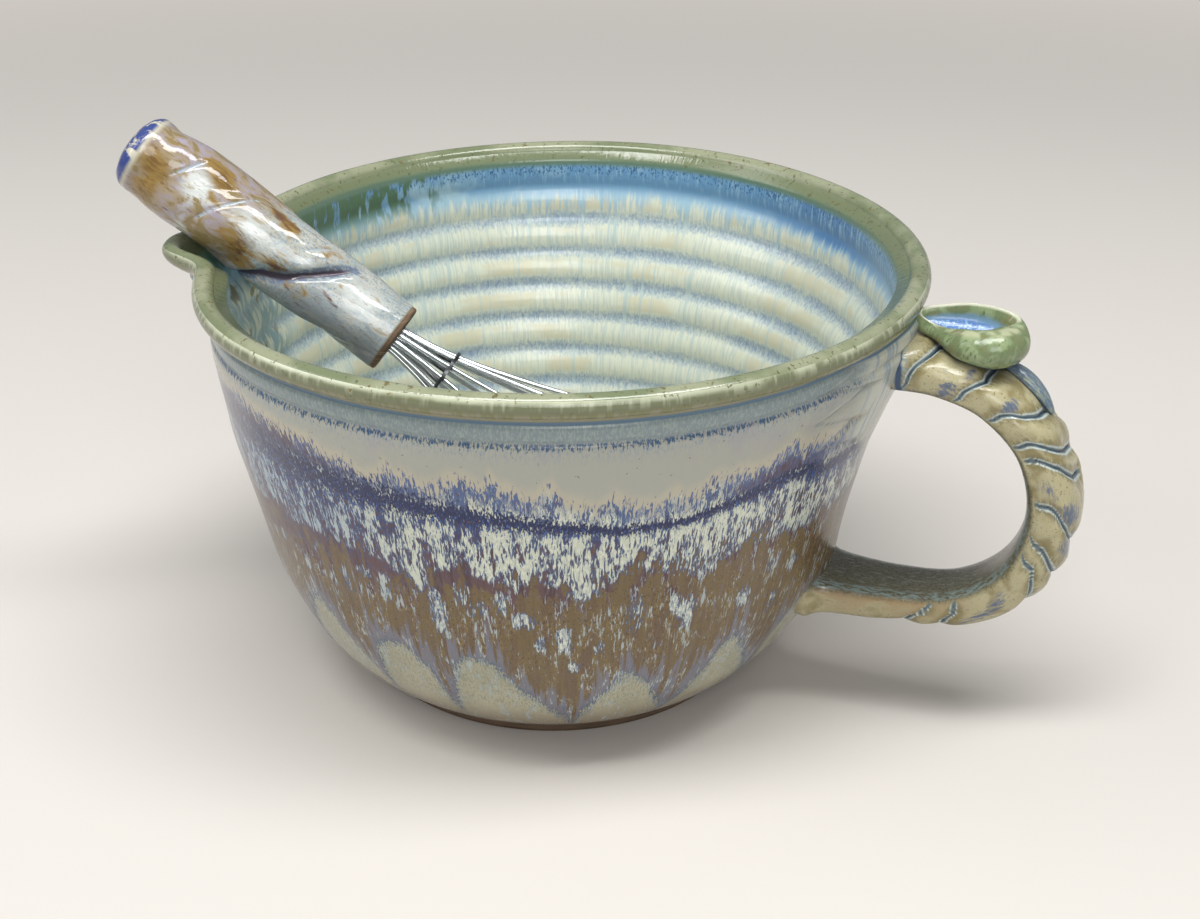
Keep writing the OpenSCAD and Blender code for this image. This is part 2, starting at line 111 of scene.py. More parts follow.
# A skin over rings of points with a fan on each end: point (j, i) joins (j, i+1), (j+1, i+1), (j+1, i)
def closedSkin(name, rings, body, nodes, materials, marks=None, faceSlot=None):
    rows, cols = rings.shape[:2]
    points = np.concatenate([rings.reshape(-1, 3), [rings[0].mean(0), rings[-1].mean(0)]]) * mm
    j, i = np.mgrid[0:rows - 1, 0:cols]
    k = (i + 1) % cols
    quads = np.stack([j * cols + i, j * cols + k, (j + 1) * cols + k, (j + 1) * cols + i], -1).reshape(-1, 4)
    one = np.arange(cols)
    two = (one + 1) % cols
    first = np.stack([np.full(cols, rows * cols), two, one], -1)
    final = np.stack([np.full(cols, rows * cols + 1), (rows - 1) * cols + one, (rows - 1) * cols + two], -1)
    corners = points[quads]
    twist = np.cross(corners[:, 1] - corners[:, 0], corners[:, 2] - corners[:, 0])
    if (twist * corners[:, 0]).sum() < 0:  # the enclosed volume is negative, so the faces point inwards
        quads, first, final = quads[:, ::-1], first[:, ::-1], final[:, ::-1]
    mesh = bpy.data.meshes.new(name)
    mesh.from_pydata(points.tolist(), [], quads.tolist() + first.tolist() + final.tolist())
    mesh.polygons.foreach_set("use_smooth", np.ones(len(mesh.polygons), bool))
    for mark, values in (marks or {}).items():
        values = np.asarray(values, float)
        kind, field, size = ("FLOAT_VECTOR", "vector", 3) if mark.endswith("Place") else ("FLOAT", "value", 1)
        flat = np.broadcast_to(values, rings.shape if size == 3 else (rows, cols)).reshape(rows, cols, size)
        flat = np.concatenate([flat.reshape(-1, size), [flat[0].mean(0), flat[-1].mean(0)]])
        layer = mesh.attributes.new(mark, kind, "POINT")
        layer.data.foreach_set(field, flat.astype(np.float32).ravel())
    for material in materials:
        mesh.materials.append(material)
    if faceSlot is not None:
        ends = np.repeat([faceSlot[0], faceSlot[-1]], cols)
        slots = np.concatenate([np.repeat(faceSlot, cols), ends])
        mesh.polygons.foreach_set("material_index", slots.astype(np.int32))
    mesh.update()
    piece = added(name, mesh)
    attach(piece, body)
    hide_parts(*nodes)
    print(f"{name}: {len(mesh.polygons)} faces")
    return piece


# Node helpers
def linear(hexColour):  # sRGB hex to the linear colour that a shader takes
    parts = [int(hexColour[k:k + 2], 16) / 255 for k in (1, 3, 5)]
    return tuple(p / 12.92 if p <= 0.04045 else ((p + 0.055) / 1.055) ** 2.4 for p in parts) + (1.0,)


def addNode(tree, kind, inputs=(), **settings):
    node = tree.nodes.new("ShaderNode" + kind)
    for name, value in settings.items():
        setattr(node, name, value)
    for socket, value in dict(inputs).items():
        if isinstance(value, bpy.types.NodeSocket):
            tree.links.new(value, node.inputs[socket])
        else:
            node.inputs[socket].default_value = value
    return node


def sums(tree, operation, *values):  # one Math node
    return addNode(tree, "Math", dict(enumerate(values)), operation=operation).outputs[0]


def newFinish(name):
    material = bpy.data.materials.new(name)
    material.use_nodes = True
    material.node_tree.nodes.clear()
    return material, material.node_tree


def marksOf(tree, names):  # the marks that the mesh carries, a place as a vector and the rest as numbers
    nodes = [addNode(tree, "Attribute", attribute_name=name) for name in names.split()]
    return [node.outputs["Vector" if node.attribute_name.endswith("Place") else "Fac"] for node in nodes]


# Noise from 0 to 1 whose cells are size (mm) wide: one width, or one for each axis of place
def grain(tree, place, size, detail=2.0, rough=0.55, warp=0.0):
    widths = np.broadcast_to(size, 3) * mm
    scaled = addNode(tree, "Mapping", {"Vector": place, "Scale": [1 / width for width in widths]})
    return addNode(tree, "TexNoise", {"Vector": scaled.outputs[0], "Scale": 1.0, "Detail": detail,
                                      "Roughness": rough, "Distortion": warp}).outputs[0]


# Rises smoothly from 0 at low to 1 at high; low above high makes it fall
def ramp(tree, value, low, high):
    return addNode(tree, "MapRange", {"Value": value, "From Min": low, "From Max": high},
                   interpolation_type="SMOOTHSTEP").outputs[0]


# 0 to 1 where value - edge + ragged * (pattern - 1/2) passes zero, over width
def passes(tree, value, edge, pattern, ragged, width):
    pushed = sums(tree, "MULTIPLY_ADD", pattern, ragged, value)
    return ramp(tree, pushed, edge + (ragged - width) / 2, edge + (ragged + width) / 2)


# Lays each coat over the last: colour = blend(colour, coat, product of its shares).
# A share is a socket, or the value, low and high of a ramp
def coats(tree, base, layers):
    colour = linear(base)
    for coat, *shares in layers:
        share, *others = [ramp(tree, *one) if isinstance(one, tuple) else one for one in shares]
        for other in others:
            share = sums(tree, "MULTIPLY", share, other)
        colour = addNode(tree, "Mix", {0: share, 6: colour, 7: linear(coat)}, data_type="RGBA").outputs[2]
    return colour


def surface(tree, inputs, relief=None, deep=0.0002, strength=0.6):  # deep is the relief's height in metres
    if relief is not None:
        bumped = addNode(tree, "Bump", {"Height": relief, "Distance": deep, "Strength": strength})
        inputs["Normal"] = bumped.outputs[0]
    shader = addNode(tree, "BsdfPrincipled", inputs)
    addNode(tree, "OutputMaterial", {"Surface": shader.outputs[0]})


# Fired gloss glaze: the IOR of glass, a faint orange peel and the relief of the runs
def glossyGlaze(tree, colour, place, relief, rough):
    peel = grain(tree, place, 2.4, 1.0)
    surface(tree, {"Base Color": colour, "Roughness": rough, "IOR": 1.5},
            sums(tree, "MULTIPLY_ADD", peel, 0.25, relief), 0.00018)


roots = {"high": 101.0, "low": 31.0}  # heights of the handle's middle line where it meets the wall

# The thrown bowl, in millimetres and degrees. Angles run anticlockwise from the handle.
bowl = {
    "rimRadius": 99.8, "height": 118.75, "rollRadius": 2.9, "wall": 5.6, "floor": 11.5,
    "footRadius": 53.8, "footBand": 6.5, "footFlare": 5.3, "footRing": 8.0, "recess": 4.0,
    "floorRound": 26.0, "lineDepth": 0.7, "lines": (2.0, 7.2), "ringPitch": 10.0, "ringDepth": 1.1,
    "ringShares": (0.5, 0.9, 0.4, 0.8, 0.3, 0.7, 0.5, 0.9, 0.6, 0.4, 0.7, 0.5),
    "spoutTurn": 197.5, "lipOut": 5.5, "pinchIn": 7.0, "pinchHeight": 48.0, "lipHeight": 30.0,
    "sway": 2.6, "swayTurn": 90.0, "columns": 318,
}
rollX = bowl["rimRadius"] - bowl["rollRadius"]
rollZ = bowl["height"] - bowl["rollRadius"]
wallTop = rollZ - bowl["rollRadius"]
glazeStart = bowl["footRadius"] + bowl["footFlare"] + 0.6
# Height and radius of the wall as shares of the way from the foot to the rim
wallShares = {0: 0, 0.04: 0.12, 0.09: 0.24, 0.15: 0.335, 0.22: 0.43, 0.305: 0.52, 0.5: 0.642, 0.7: 0.775,
              0.885: 0.93, 1: 0.972}
stations = np.linspace(-0.2, 1.2, 1401)
straight = read(wallShares, stations)
straight[stations < 0] = stations[stations < 0] * 3
straight[stations > 1] = 0.972 + (stations[stations > 1] - 1) * 0.36
window = np.hanning(131)
eased = np.convolve(straight, window / window.sum(), "same")


def wallRadius(z):  # outer radius of the wall at height z: the shares, averaged over about 7 mm
    v = (z - bowl["footBand"]) / (wallTop - bowl["footBand"])
    return glazeStart + (rollX - glazeStart + 0.6) * np.interp(v, stations, eased)


def innerRadius(z):  # one wall inside the outer line, less the throwing rings and the round of the floor
    low = (z - bowl["floor"]) / bowl["floorRound"]
    phase = (z - bowl["floor"]) / bowl["ringPitch"]
    uneven = 0.75 + 0.5 * np.interp(phase, np.arange(12), bowl["ringShares"])
    rings = bowl["ringDepth"] * uneven * (np.abs(np.cos(np.pi * phase)) ** 1.3 - 1)
    calm = smooth((wallTop - z) / bowl["ringPitch"])
    corner = rollX * 0.5 * (1 - np.sqrt(np.maximum(1 - (1 - low) ** 2, 0)))
    return wallRadius(np.maximum(z, bowl["floor"] + bowl["floorRound"])) - bowl["wall"] - rings * calm \
        - np.where(low < 1, corner, 0)


def rimShift(angle, z):  # how far the pinched spout and the uneven rim move the wall out
    d = turnedBy(angle - bowl["spoutTurn"])
    pinched = bowl["pinchIn"] * np.where(d > 0, bump(d / 34), blend(1, 1.22, smooth(-d / 34)) * bump(d / 56))
    lipped = (bowl["lipOut"] + bowl["pinchIn"]) * np.exp(-(np.abs(d) / 7.2) ** 2.6)
    lipRise = smooth((z - bowl["height"] + bowl["lipHeight"]) / bowl["lipHeight"]) ** 1.6
    pinchRise = smooth((z - bowl["height"] + bowl["pinchHeight"]) / bowl["pinchHeight"])
    swayed = bowl["sway"] * bump(turnedBy(angle - bowl["swayTurn"]) / 30)
    return lipped * lipRise + (swayed - pinched) * pinchRise


# How the poured glazes lie round the bowl. Tops, heights and ends: angle, then height above
# the foot band. Widths: about half the navy band in mm. Shares and hairs: how thick they lie, from 0 to 1
flameTops = {
    -180: 88, -165: 91, -150: 89, -135: 91.5, -121: 92.5, -118: 90.5, -113: 90.5, -110: 89, -106: 89.5,
    -103: 86.5, -99: 86.5, -97: 83, -94: 84.5, -92.5: 89, -91: 84.5, -89.5: 87, -88: 83.5, -85: 84,
    -83.5: 87, -80: 87, -78.5: 83.5, -77: 88.5, -75.5: 84, -74: 85.5, -73: 82, -70.5: 82.5,
    -68.7: 87.5, -67.5: 82, -65: 80.5, -62: 78.5, -59: 82.5, -57.5: 79, -53: 78, -50.5: 82, -49: 79,
    -46.5: 80, -44: 84.5, -42.5: 82, -40: 84, -37: 82.5, -34: 84.5, -30.5: 88, -28: 84.5, -24: 85,
    -20: 83, -10: 86, 10: 88, 30: 84, 50: 88, 70: 85, 90: 82, 110: 86, 130: 90, 150: 86, 165: 89,
    180: 88,
}
navyHeights = {
    -180: 79, -160: 83, -140: 84, -130: 83.5, -120: 82, -110: 80.5, -100: 79.5, -90: 78.5, -80: 77.2,
    -70: 75.5, -62: 74, -58: 73, -53: 73.6, -48: 73.2, -43: 75, -38: 76.6, -30: 78.5, -25: 77.5,
    -20: 75, -10: 75, 10: 77, 40: 79, 70: 76, 100: 75, 130: 80, 155: 77, 180: 79,
}
navyWidths = {
    -180: 2, -140: 3.8, -118: 5.6, -100: 5.0, -88: 3.8, -78: 2.9, -68: 2.3, -60: 1.8, -48: 1.6,
    -38: 2.0, -25: 2.3, -15: 2.8, 0: 2.4, 60: 1.4, 120: 2.8, 180: 2,
}
plumShares = {
    -180: 0.6, -140: 0.9, -118: 1, -104: 0.7, -94: 0.15, -60: 0, -42: 0.1, -35: 0.9, -27: 0.8,
    -20: 0.2, 30: 0.5, 70: 0.1, 130: 0.8, 180: 0.6,
}
coolShares = {
    -180: 0.5, -125: 1, -95: 0.6, -80: 0.3, -50: 0.25, -20: 0.5, 60: 0.3, 120: 0.8, 180: 0.5,
}
flameHairs = {
    -180: 0.5, -150: 0.5, -120: 0.6, -104: 0.66, -94: 0.78, -76: 0.8, -66: 0.84, -56: 0.88, -48: 0.86,
    -40: 0.78, -28: 0.64, -10: 0.7, 40: 0.6, 100: 0.7, 140: 0.5, 180: 0.5,
}
lowHairs = {
    -180: 0.6, -150: 0.45, -120: 0.47, -105: 0.5, -95: 0.64, -85: 0.74, -70: 0.84, -58: 0.8, -46: 0.82,
    -34: 0.66, -20: 0.62, 20: 0.7, 60: 0.6, 100: 0.75, 140: 0.5, 180: 0.6,
}
hairEnds = {
    -180: 60, -150: 62, -120: 62, -100: 62, -92: 60, -84: 63, -76: 60, -68: 61, -62: 57, -56: 63,
    -50: 61, -44: 58, -38: 62, -30: 63, -20: 60, 0: 62, 40: 58, 80: 63, 120: 60, 150: 63, 180: 60,
}
maroonEnds = {
    -180: 54, -150: 52, -120: 52.5, -105: 53, -90: 52, -78: 55, -66: 54, -55: 56.5, -48: 60, -38: 58,
    -30: 61, -20: 60, 0: 56, 50: 54, 100: 57, 140: 52, 180: 54,
}
# Pale runs over the ochre: angle, height, half width (degrees), half height (mm), strength
paleRuns = [
    [-106.5, 48, 1.1, 5, 0.9], [-98, 50, 1.4, 5, 0.8], [-102, 53, 1.6, 2.5, 0.6], [-91.5, 56, 1.6, 5, 1],
    [-88.6, 46, 1.3, 8, 0.9], [-94, 58, 1.6, 3, 0.9], [-83.5, 53, 1.6, 4, 0.9], [-81.5, 49, 1.7, 3, 0.8],
    [-77.8, 66, 0.9, 9, 1.1], [-77, 51, 1.2, 4, 0.8], [-74.3, 61, 1, 6, 1], [-73.5, 45.5, 1.6, 3, 1],
    [-66.5, 39.5, 1.5, 4, 1], [-63.5, 56, 2.6, 4, 1], [-68, 59, 1.4, 3, 0.9], [-65, 30, 1.4, 3, 0.6],
    [-70.5, 38, 1.2, 3.5, 0.6], [-60.5, 36.5, 1, 3, 0.6], [-54.8, 46, 1.1, 8, 0.8],
    [-45.2, 44, 1.9, 6, 0.8], [-47.5, 48, 1.5, 4, 0.6], [-42.3, 62, 1.7, 7, 1.1], [-40, 66, 1.3, 5, 1],
    [-33.5, 43, 1.6, 5, 0.7], [-25, 37, 1.2, 4, 0.8], [-28, 50, 2, 3, 0.5], [-57.5, 63, 0.9, 5, 0.8],
    [-50, 36, 1.3, 3, 0.5], [-118, 47, 1.2, 4, 0.5], [-124, 51, 1.5, 3, 0.5], [-113, 55, 1.4, 3, 0.5],
    [-21, 47, 1.6, 4, 0.6],
]
paleRuns = paleRuns + [[a + turn] + rest for turn in (132, 228) for a, *rest in paleRuns]
# The lower edge of the poured glaze: narrow drips between arches, and how it goes on round the back
dripEdge = {
    -150: 5, -147: 24, -140: 33, -134: 29, -129: 17, -127: 11, -125.5: 23, -121: 32, -117.5: 36, -114: 31,
    -110.5: 22, -108: 15, -106.3: 9, -105.4: 19, -104: 27, -101.5: 30.5, -98: 31, -95.5: 29.5, -92.8: 24,
    -91: 13, -89.6: 4.5, -88.7: 14, -87.6: 25.5, -85.5: 31, -81.5: 31, -78.5: 29.5, -76: 23, -72: 15.5,
    -68.5: 10, -66: 6, -64.6: 1.6, -63.2: 8.5, -60: 16.5, -57.5: 21.5, -55: 26, -52.5: 24, -50: 20,
    -47: 12.5, -45: 7, -43.5: 1.8, -42: 8, -39.5: 14, -37: 22, -35: 27, -32.5: 29, -30: 26, -27: 19,
    -24: 12, -21: 5,
}
dripEdge |= {(a + 150) * s + start: h * s + 1 for s, start in ((0.86, -21), (0.93, 90))
             for a, h in list(dripEdge.items())[1:]}
# The pressed clay beside the handle's upper root ends in four fingers: height, angle
fingerEdge = {
    60: -8, 72: -9, 79: -13, 82.5: -23, 87: -14.5, 91.5: -26, 96: -14, 99.5: -24.5, 102.5: -18,
    107: -24,
}


def dripLine(angle):  # height of the glaze's lower edge, straight between the table's points, and a wobble
    wide, narrow = cloud(angle / 1.7, angle * 0 + 3.5, 5), cloud(angle / 0.8, angle * 0 + 9.5, 6)
    return read(dripEdge, angle) + 2.2 * (wide - 0.5 + 0.7 * (narrow - 0.5))


# The cut through the wall from the middle of the foot, up the outside, over the rim and down the inside
def profileRows():
    foot, band, top = bowl["footRadius"], bowl["footBand"], bowl["recess"]
    inside = foot - 1 - bowl["footRing"]
    under = [(x, top) for x in (4, 12, 22, 32, 41, inside - 0.6)]
    under += [(inside - 0.1, top - 0.3), (inside, top - 0.9), (inside + 0.1, 0.7), (inside + 0.5, 0.12),
              (inside + 1, 0), (49.8, 0), (foot - 1.3, 0)]
    edge = [(foot - 0.7, 0.12), (foot - 0.25, 0.4), (foot, 1)]
    base = foot + bowl["footFlare"]
    flare = [(blend(foot, base, t), blend(1, band, t)) for t in np.linspace(0.12, 1, 8)]
    step = [(base + 0.32, band + 0.02), (base + 0.58, band + 0.25), (base + 0.76, band + 0.7)]
    outerZ = np.concatenate([np.linspace(band + 1.3, 102, 128), np.linspace(102.5, wallTop - 0.15, 30)])
    grooves = sum(bump((outerZ - wallTop + down) / 0.95) for down in bowl["lines"]) * bowl["lineDepth"]
    outer = np.stack([wallRadius(outerZ) - grooves, outerZ], -1)
    turn = np.radians(np.linspace(-68, 168, 24))
    roll = np.stack([np.cos(turn), np.sin(turn)], -1) * bowl["rollRadius"] + [rollX, rollZ]
    flat, corner = 42.2, 13  # radius of the flat floor, height of the curve round it
    innerZ = np.linspace(rollZ - 0.9, bowl["floor"] + corner, 80)
    inner = np.stack([innerRadius(innerZ), innerZ], -1)
    turn = np.radians(np.linspace(6, 90, 12))
    curve = np.stack([flat + (inner[-1, 0] - flat) * np.cos(turn),
                      bowl["floor"] + corner * (1 - np.sin(turn))], -1)
    middle = [(x, bowl["floor"] + 0.25 * np.cos(x / 5.4)) for x in (37, 31, 25, 19, 13, 7, 3)]
    rows = np.concatenate([under, edge, flare, step, outer, roll, inner, curve, middle])
    parts = np.concatenate([np.zeros(len(under) + len(edge) + len(flare) + 1), np.ones(2 + len(outer) + 12),
                            np.full(12 + len(inner) + len(curve) + len(middle), 2)])
    return rows, parts


def makeBowl(finishes):
    rows, parts = profileRows()
    t = np.arange(bowl["columns"]) / bowl["columns"] * 2 - 1
    angle = turnedBy(bowl["spoutTurn"] + 180 * t - 18 * np.sin(np.pi * t))[None, :]
    radius, z = rows[:, 0][:, None], rows[:, 1][:, None]
    up = z - bowl["footBand"]
    outside = ((parts == 1) & (rows[:, 1] < wallTop))[:, None]
    fine = np.linspace(-180, 180, 3601)
    steep = np.interp(angle, fine, np.abs(np.gradient(dripLine(fine), 0.1))) / 1.2
    drip = (up - dripLine(angle)) / np.sqrt(1 + np.minimum(steep, 4) ** 2)
    thick = 0.25 * smooth(drip / 1.4 + 0.3) * smooth((80 - up) / 10)
    uneven = 0.35 * (cloud(angle / 36 + 5, z / 25, 11) - 0.5) * smooth((up - 3) / 20)
    finger = angle - read(fingerEdge, up)  # degrees past the edge of the pressed clay
    pressed = smooth(finger / 3) * smooth((16 - np.abs(angle + 4)) / 6) * smooth((up - 66) / 12) \
        * smooth((107 - up) / 3)
    fan = 0.9 * pressed - 0.4 * bump((finger + 0.8) / 1.5) * smooth((up - 72) / 6) * smooth((106 - up) / 2) \
        * smooth((-6 - angle) / 4)
    high, low = roots["high"], roots["low"]
    shoulder = 2.2 * bump(np.hypot(angle * 1.5, z - high - 1) / 15) \
        + 2.0 * bump(np.hypot(angle * 1.4, z - low) / 12)
    out = radius + rimShift(angle, z) + np.where(outside, thick + uneven + fan + shoulder, 0)
    turn = np.radians(angle)
    rings = joined(out * np.cos(turn), out * np.sin(turn), z)
    path = np.concatenate([[0], np.cumsum(np.hypot(*np.diff(rows, axis=0).T))])[:, None]
    place = joined(100 * np.cos(turn), 100 * np.sin(turn), path) * mm
    at = lambda table: read(table, angle)
    navy = (up - at(navyHeights)) / at(navyWidths)
    below = up - at(navyHeights)
    flameTop = up - at(flameTops)
    # How thickly the pale hairs lie: over the navy line up to the flames, and under it down to their ends
    hairs = np.where(below > 0, at(flameHairs), at(lowHairs) * smooth((up - at(hairEnds) + 6) / 9)
                     * blend(1, 0.72, smooth((below + 3.5) / 3.5)))
    plum = at(plumShares) * smooth((navy - 0.4) / 0.8) * smooth((3.6 - navy) / 1.6)
    hairs = (hairs - 0.1) * (1 - 0.8 * plum) * blend(0.9, 1, smooth(flameTop / -6))
    runs = smooth((spots(angle, up, paleRuns) - 0.15) / 0.6) * smooth((-below - 1) / 4)
    hairs = np.maximum(hairs, 0.7 * runs)
    phase = (z - bowl["floor"]) / bowl["ringPitch"] + 0.12 * (cloud(angle / 30 + 2, z / 20, 13) - 0.5)
    marks = {
        "wallPlace": place,
        "upWall": up,
        "flameTop": flameTop,
        "navy": navy,
        "plum": plum,
        "hairs": hairs,
        "maroon": up - at(maroonEnds),
        "drip": drip,
        "cool": at(coolShares),
        "pressed": pressed,
        "crease": bump((finger + 0.9) / 1.3) * smooth((up - 72) / 6) * smooth((109 - up) / 3)
        * smooth((-4 - angle) / 4),
        "root": np.maximum(bump(np.hypot((angle - 2) * 1.25, z - high) / 17),
                           bump(np.hypot(angle * 1.4, z - low) / 13)),
        "hollow": -np.cos(2 * np.pi * phase),
        "spout": bump(turnedBy(angle - 168) / 26),
        "deepBlue": bump(turnedBy(angle - 48) / 20),
        "shade": bump(turnedBy(angle - 194) / 15) * smooth((up - 45) / 25) * smooth((103 - up) / 6),
    }
    return closedSkin("stonewareBowl", rings, "bowl", ["bowl_body"], finishes, marks, parts[1:].astype(int))


# Runny gloss glazes poured over each other: they bleed into hairs and end in drips
def outsideGlaze():
    material, tree = newFinish("runnyGlazeOutside")
    place, up, flame, navy, plum, hairs, maroon, drip, cool, pressed, crease, root = marksOf(
        tree, "wallPlace upWall flameTop navy plum hairs maroon drip cool pressed crease root")
    hair = grain(tree, place, (0.62, 0.62, 3.0), 3.0, 0.62, 0.6)
    fine = grain(tree, place, (0.5, 0.5, 1.3), 2.0, 0.6)
    streak = grain(tree, place, (2.0, 2.0, 26), 3.0, 0.6)
    patch = grain(tree, place, (3.6, 3.6, 9), 2.0, 0.6)
    drift = grain(tree, place, (16, 16, 22), 3.0)
    fleck = grain(tree, place, 0.7, 2.0, 0.7)
    bigFleck = grain(tree, place, 1.5, 2.0, 0.7)
    # front: 1 on the near side of the bowl, where the top of the rim gets a painted highlight
    front = ramp(tree, addNode(tree, "SeparateXYZ", {0: place}).outputs["Y"], -0.06, -0.098)
    curtain = passes(tree, drip, 0, fine, 6.0, 0.9)
    edgeBand = passes(tree, drip, 3.6, streak, 26.0, 3.0)  # 1 well inside, 0 in the lilac band along the edge
    lilac = sums(tree, "SUBTRACT", 1.0, edgeBand)
    maroonOn = passes(tree, maroon, 0, patch, 60.0, 6.0)
    cover = sums(tree, "MULTIPLY_ADD", patch, 3.2, hairs)
    core, halo, faint = [passes(tree, cover, edge, hair, 4.6, width)
                         for edge, width in ((2.25, 0.3), (1.98, 0.4), (1.74, 0.5))]
    hairy = ramp(tree, hairs, 0.03, 0.2)
    flameOn = passes(tree, flame, 0, hair, 24.0, 2.4)
    flameIn = passes(tree, flame, -2.2, hair, 24.0, 2.6)
    flameLine = sums(tree, "SUBTRACT", flameIn, flameOn)
    navyBand = sums(tree, "SUBTRACT", passes(tree, navy, -0.9, fine, 4.5, 0.7),
                    passes(tree, navy, 0.75, fine, 4.5, 0.7))
    navyTint = sums(tree, "SUBTRACT", passes(tree, navy, -3.6, hair, 14.0, 2.4), ramp(tree, navy, 1.6, 2.6))
    lineLow = sums(tree, "SUBTRACT", passes(tree, up, 98.2, fine, 7.0, 0.8),
                   passes(tree, up, 99.4, fine, 4.0, 0.8))
    lineHigh = sums(tree, "SUBTRACT", ramp(tree, up, 103.8, 104.3), ramp(tree, up, 104.9, 105.3))
    colour = coats(tree, "#a29f88", [
        ("#ada890", (drift, 0.42, 0.6)),
        ("#7a857c", (fleck, 0.53, 0.64), (drip, -14, -1)),
        ("#8e8f7b", (fine, 0.5, 0.62), (up, 6, 16)),
        ("#9b8f77", (up, 14, 3)),
        ("#6f8290", (drip, -2.2, -0.3), (fine, 0.42, 0.56)),
        ("#6f5d3a", curtain),
        ("#66513a", curtain, (streak, 0.47, 0.6)),
        ("#826e43", curtain, (fine, 0.48, 0.6), (patch, 0.44, 0.56)),
        ("#4e4029", curtain, (fleck, 0.54, 0.68)),
        ("#6d626a", curtain, (streak, 0.45, 0.33), (patch, 0.46, 0.6)),
        ("#6a6068", curtain, (hair, 0.53, 0.63), cool),
        ("#75737d", curtain, lilac),
        ("#56687e", (drip, 1.6, 0.2), curtain, (fine, 0.4, 0.54)),
        ("#606777", curtain, lilac, (hair, 0.5, 0.62)),
        ("#5d4448", maroonOn),
        ("#4b3338", maroonOn, (streak, 0.48, 0.6)),
        ("#5d5262", maroonOn, (hair, 0.5, 0.6), cool),
        ("#2b3a6a", maroonOn, navyTint, (fine, 0.34, 0.52)),
        ("#424a6c", maroonOn, cool, (hair, 0.53, 0.6), (maroon, 6, 12)),
        ("#4d6896", (navy, 0.4, 1.4), (fine, 0.36, 0.5)),
        ("#434f74", faint, hairy, (fine, 0.4, 0.56)),
        ("#4f688c", halo, hairy),
        ("#c4c9b9", core, hairy),
        ("#9fb0bc", core, hairy, (cool, 0.5, 0.9)),
        ("#a3adae", core, (maroon, 4, -4)),
        ("#d6d9c8", core, hairy, (fine, 0.46, 0.56), (cool, 0.8, 0.3)),
        ("#4f4059", plum, (fine, 0.34, 0.5)),
        ("#4d363e", plum, (patch, 0.4, 0.56)),
        ("#b6b09d", flameOn),
        ("#4d6390", flameLine, (drift, 0.34, 0.5)),
        ("#a6a79d", (flame, 2, 6)),
        ("#a2a1a0", (flame, 4, 10), (drift, 0.5, 0.64)),
        ("#8f9ba1", (up, 92, 99), (fine, 0.46, 0.6)),
        ("#6b6c66", (up, 84, 88), (bigFleck, 0.7, 0.74)),
        ("#101d4c", navyBand),
        ("#40619f", navyBand, (fine, 0.56, 0.66)),
        ("#7f8d90", (up, 98.8, 99.8)),
        ("#909d9a", (up, 98.8, 99.8), (fine, 0.46, 0.6)),
        ("#45607e", lineLow, (fine, 0.42, 0.54)),
        ("#b9bbae", pressed),
        ("#93a0a8", pressed, (streak, 0.52, 0.62)),
        ("#5d7387", (root, 0.62, 0.95), (drift, 0.36, 0.5)),
        ("#8a9290", (crease, 0.35, 0.9)),
        ("#66757f", (crease, 0.75, 1.0), (patch, 0.42, 0.56)),
        ("#557086", lineHigh),
        ("#89856a", (up, 104.7, 105.3)),
        ("#77784f", (up, 105.2, 106.4), (streak, 0.4, 0.54)),
        ("#6e7358", (up, 107.2, 109.6)),
        ("#989c82", (up, 108, 111), (streak, 0.48, 0.62)),
        # Lighter coats over the top of the rim's roll: partly its cream glaze, partly painted highlight; the
        # palest, on the near side only, is a painted highlight
        ("#b0b49c", (up, 109.8, 111.6), (drift, 0.4, 0.54)),
        ("#a9ae92", (up, 110.8, 112.2)),
        ("#c9cdb3", (up, 110.2, 112), front),
        ("#5f6342", (up, 105.4, 106.4), (bigFleck, 0.6, 0.68), (drift, 0.4, 0.55)),
        ("#8a6a3c", (up, 105.6, 107.4), (bigFleck, 0.69, 0.73)),
    ])
    glossyGlaze(tree, colour, place, sums(tree, "MULTIPLY", hair, curtain), 0.13)
    return material


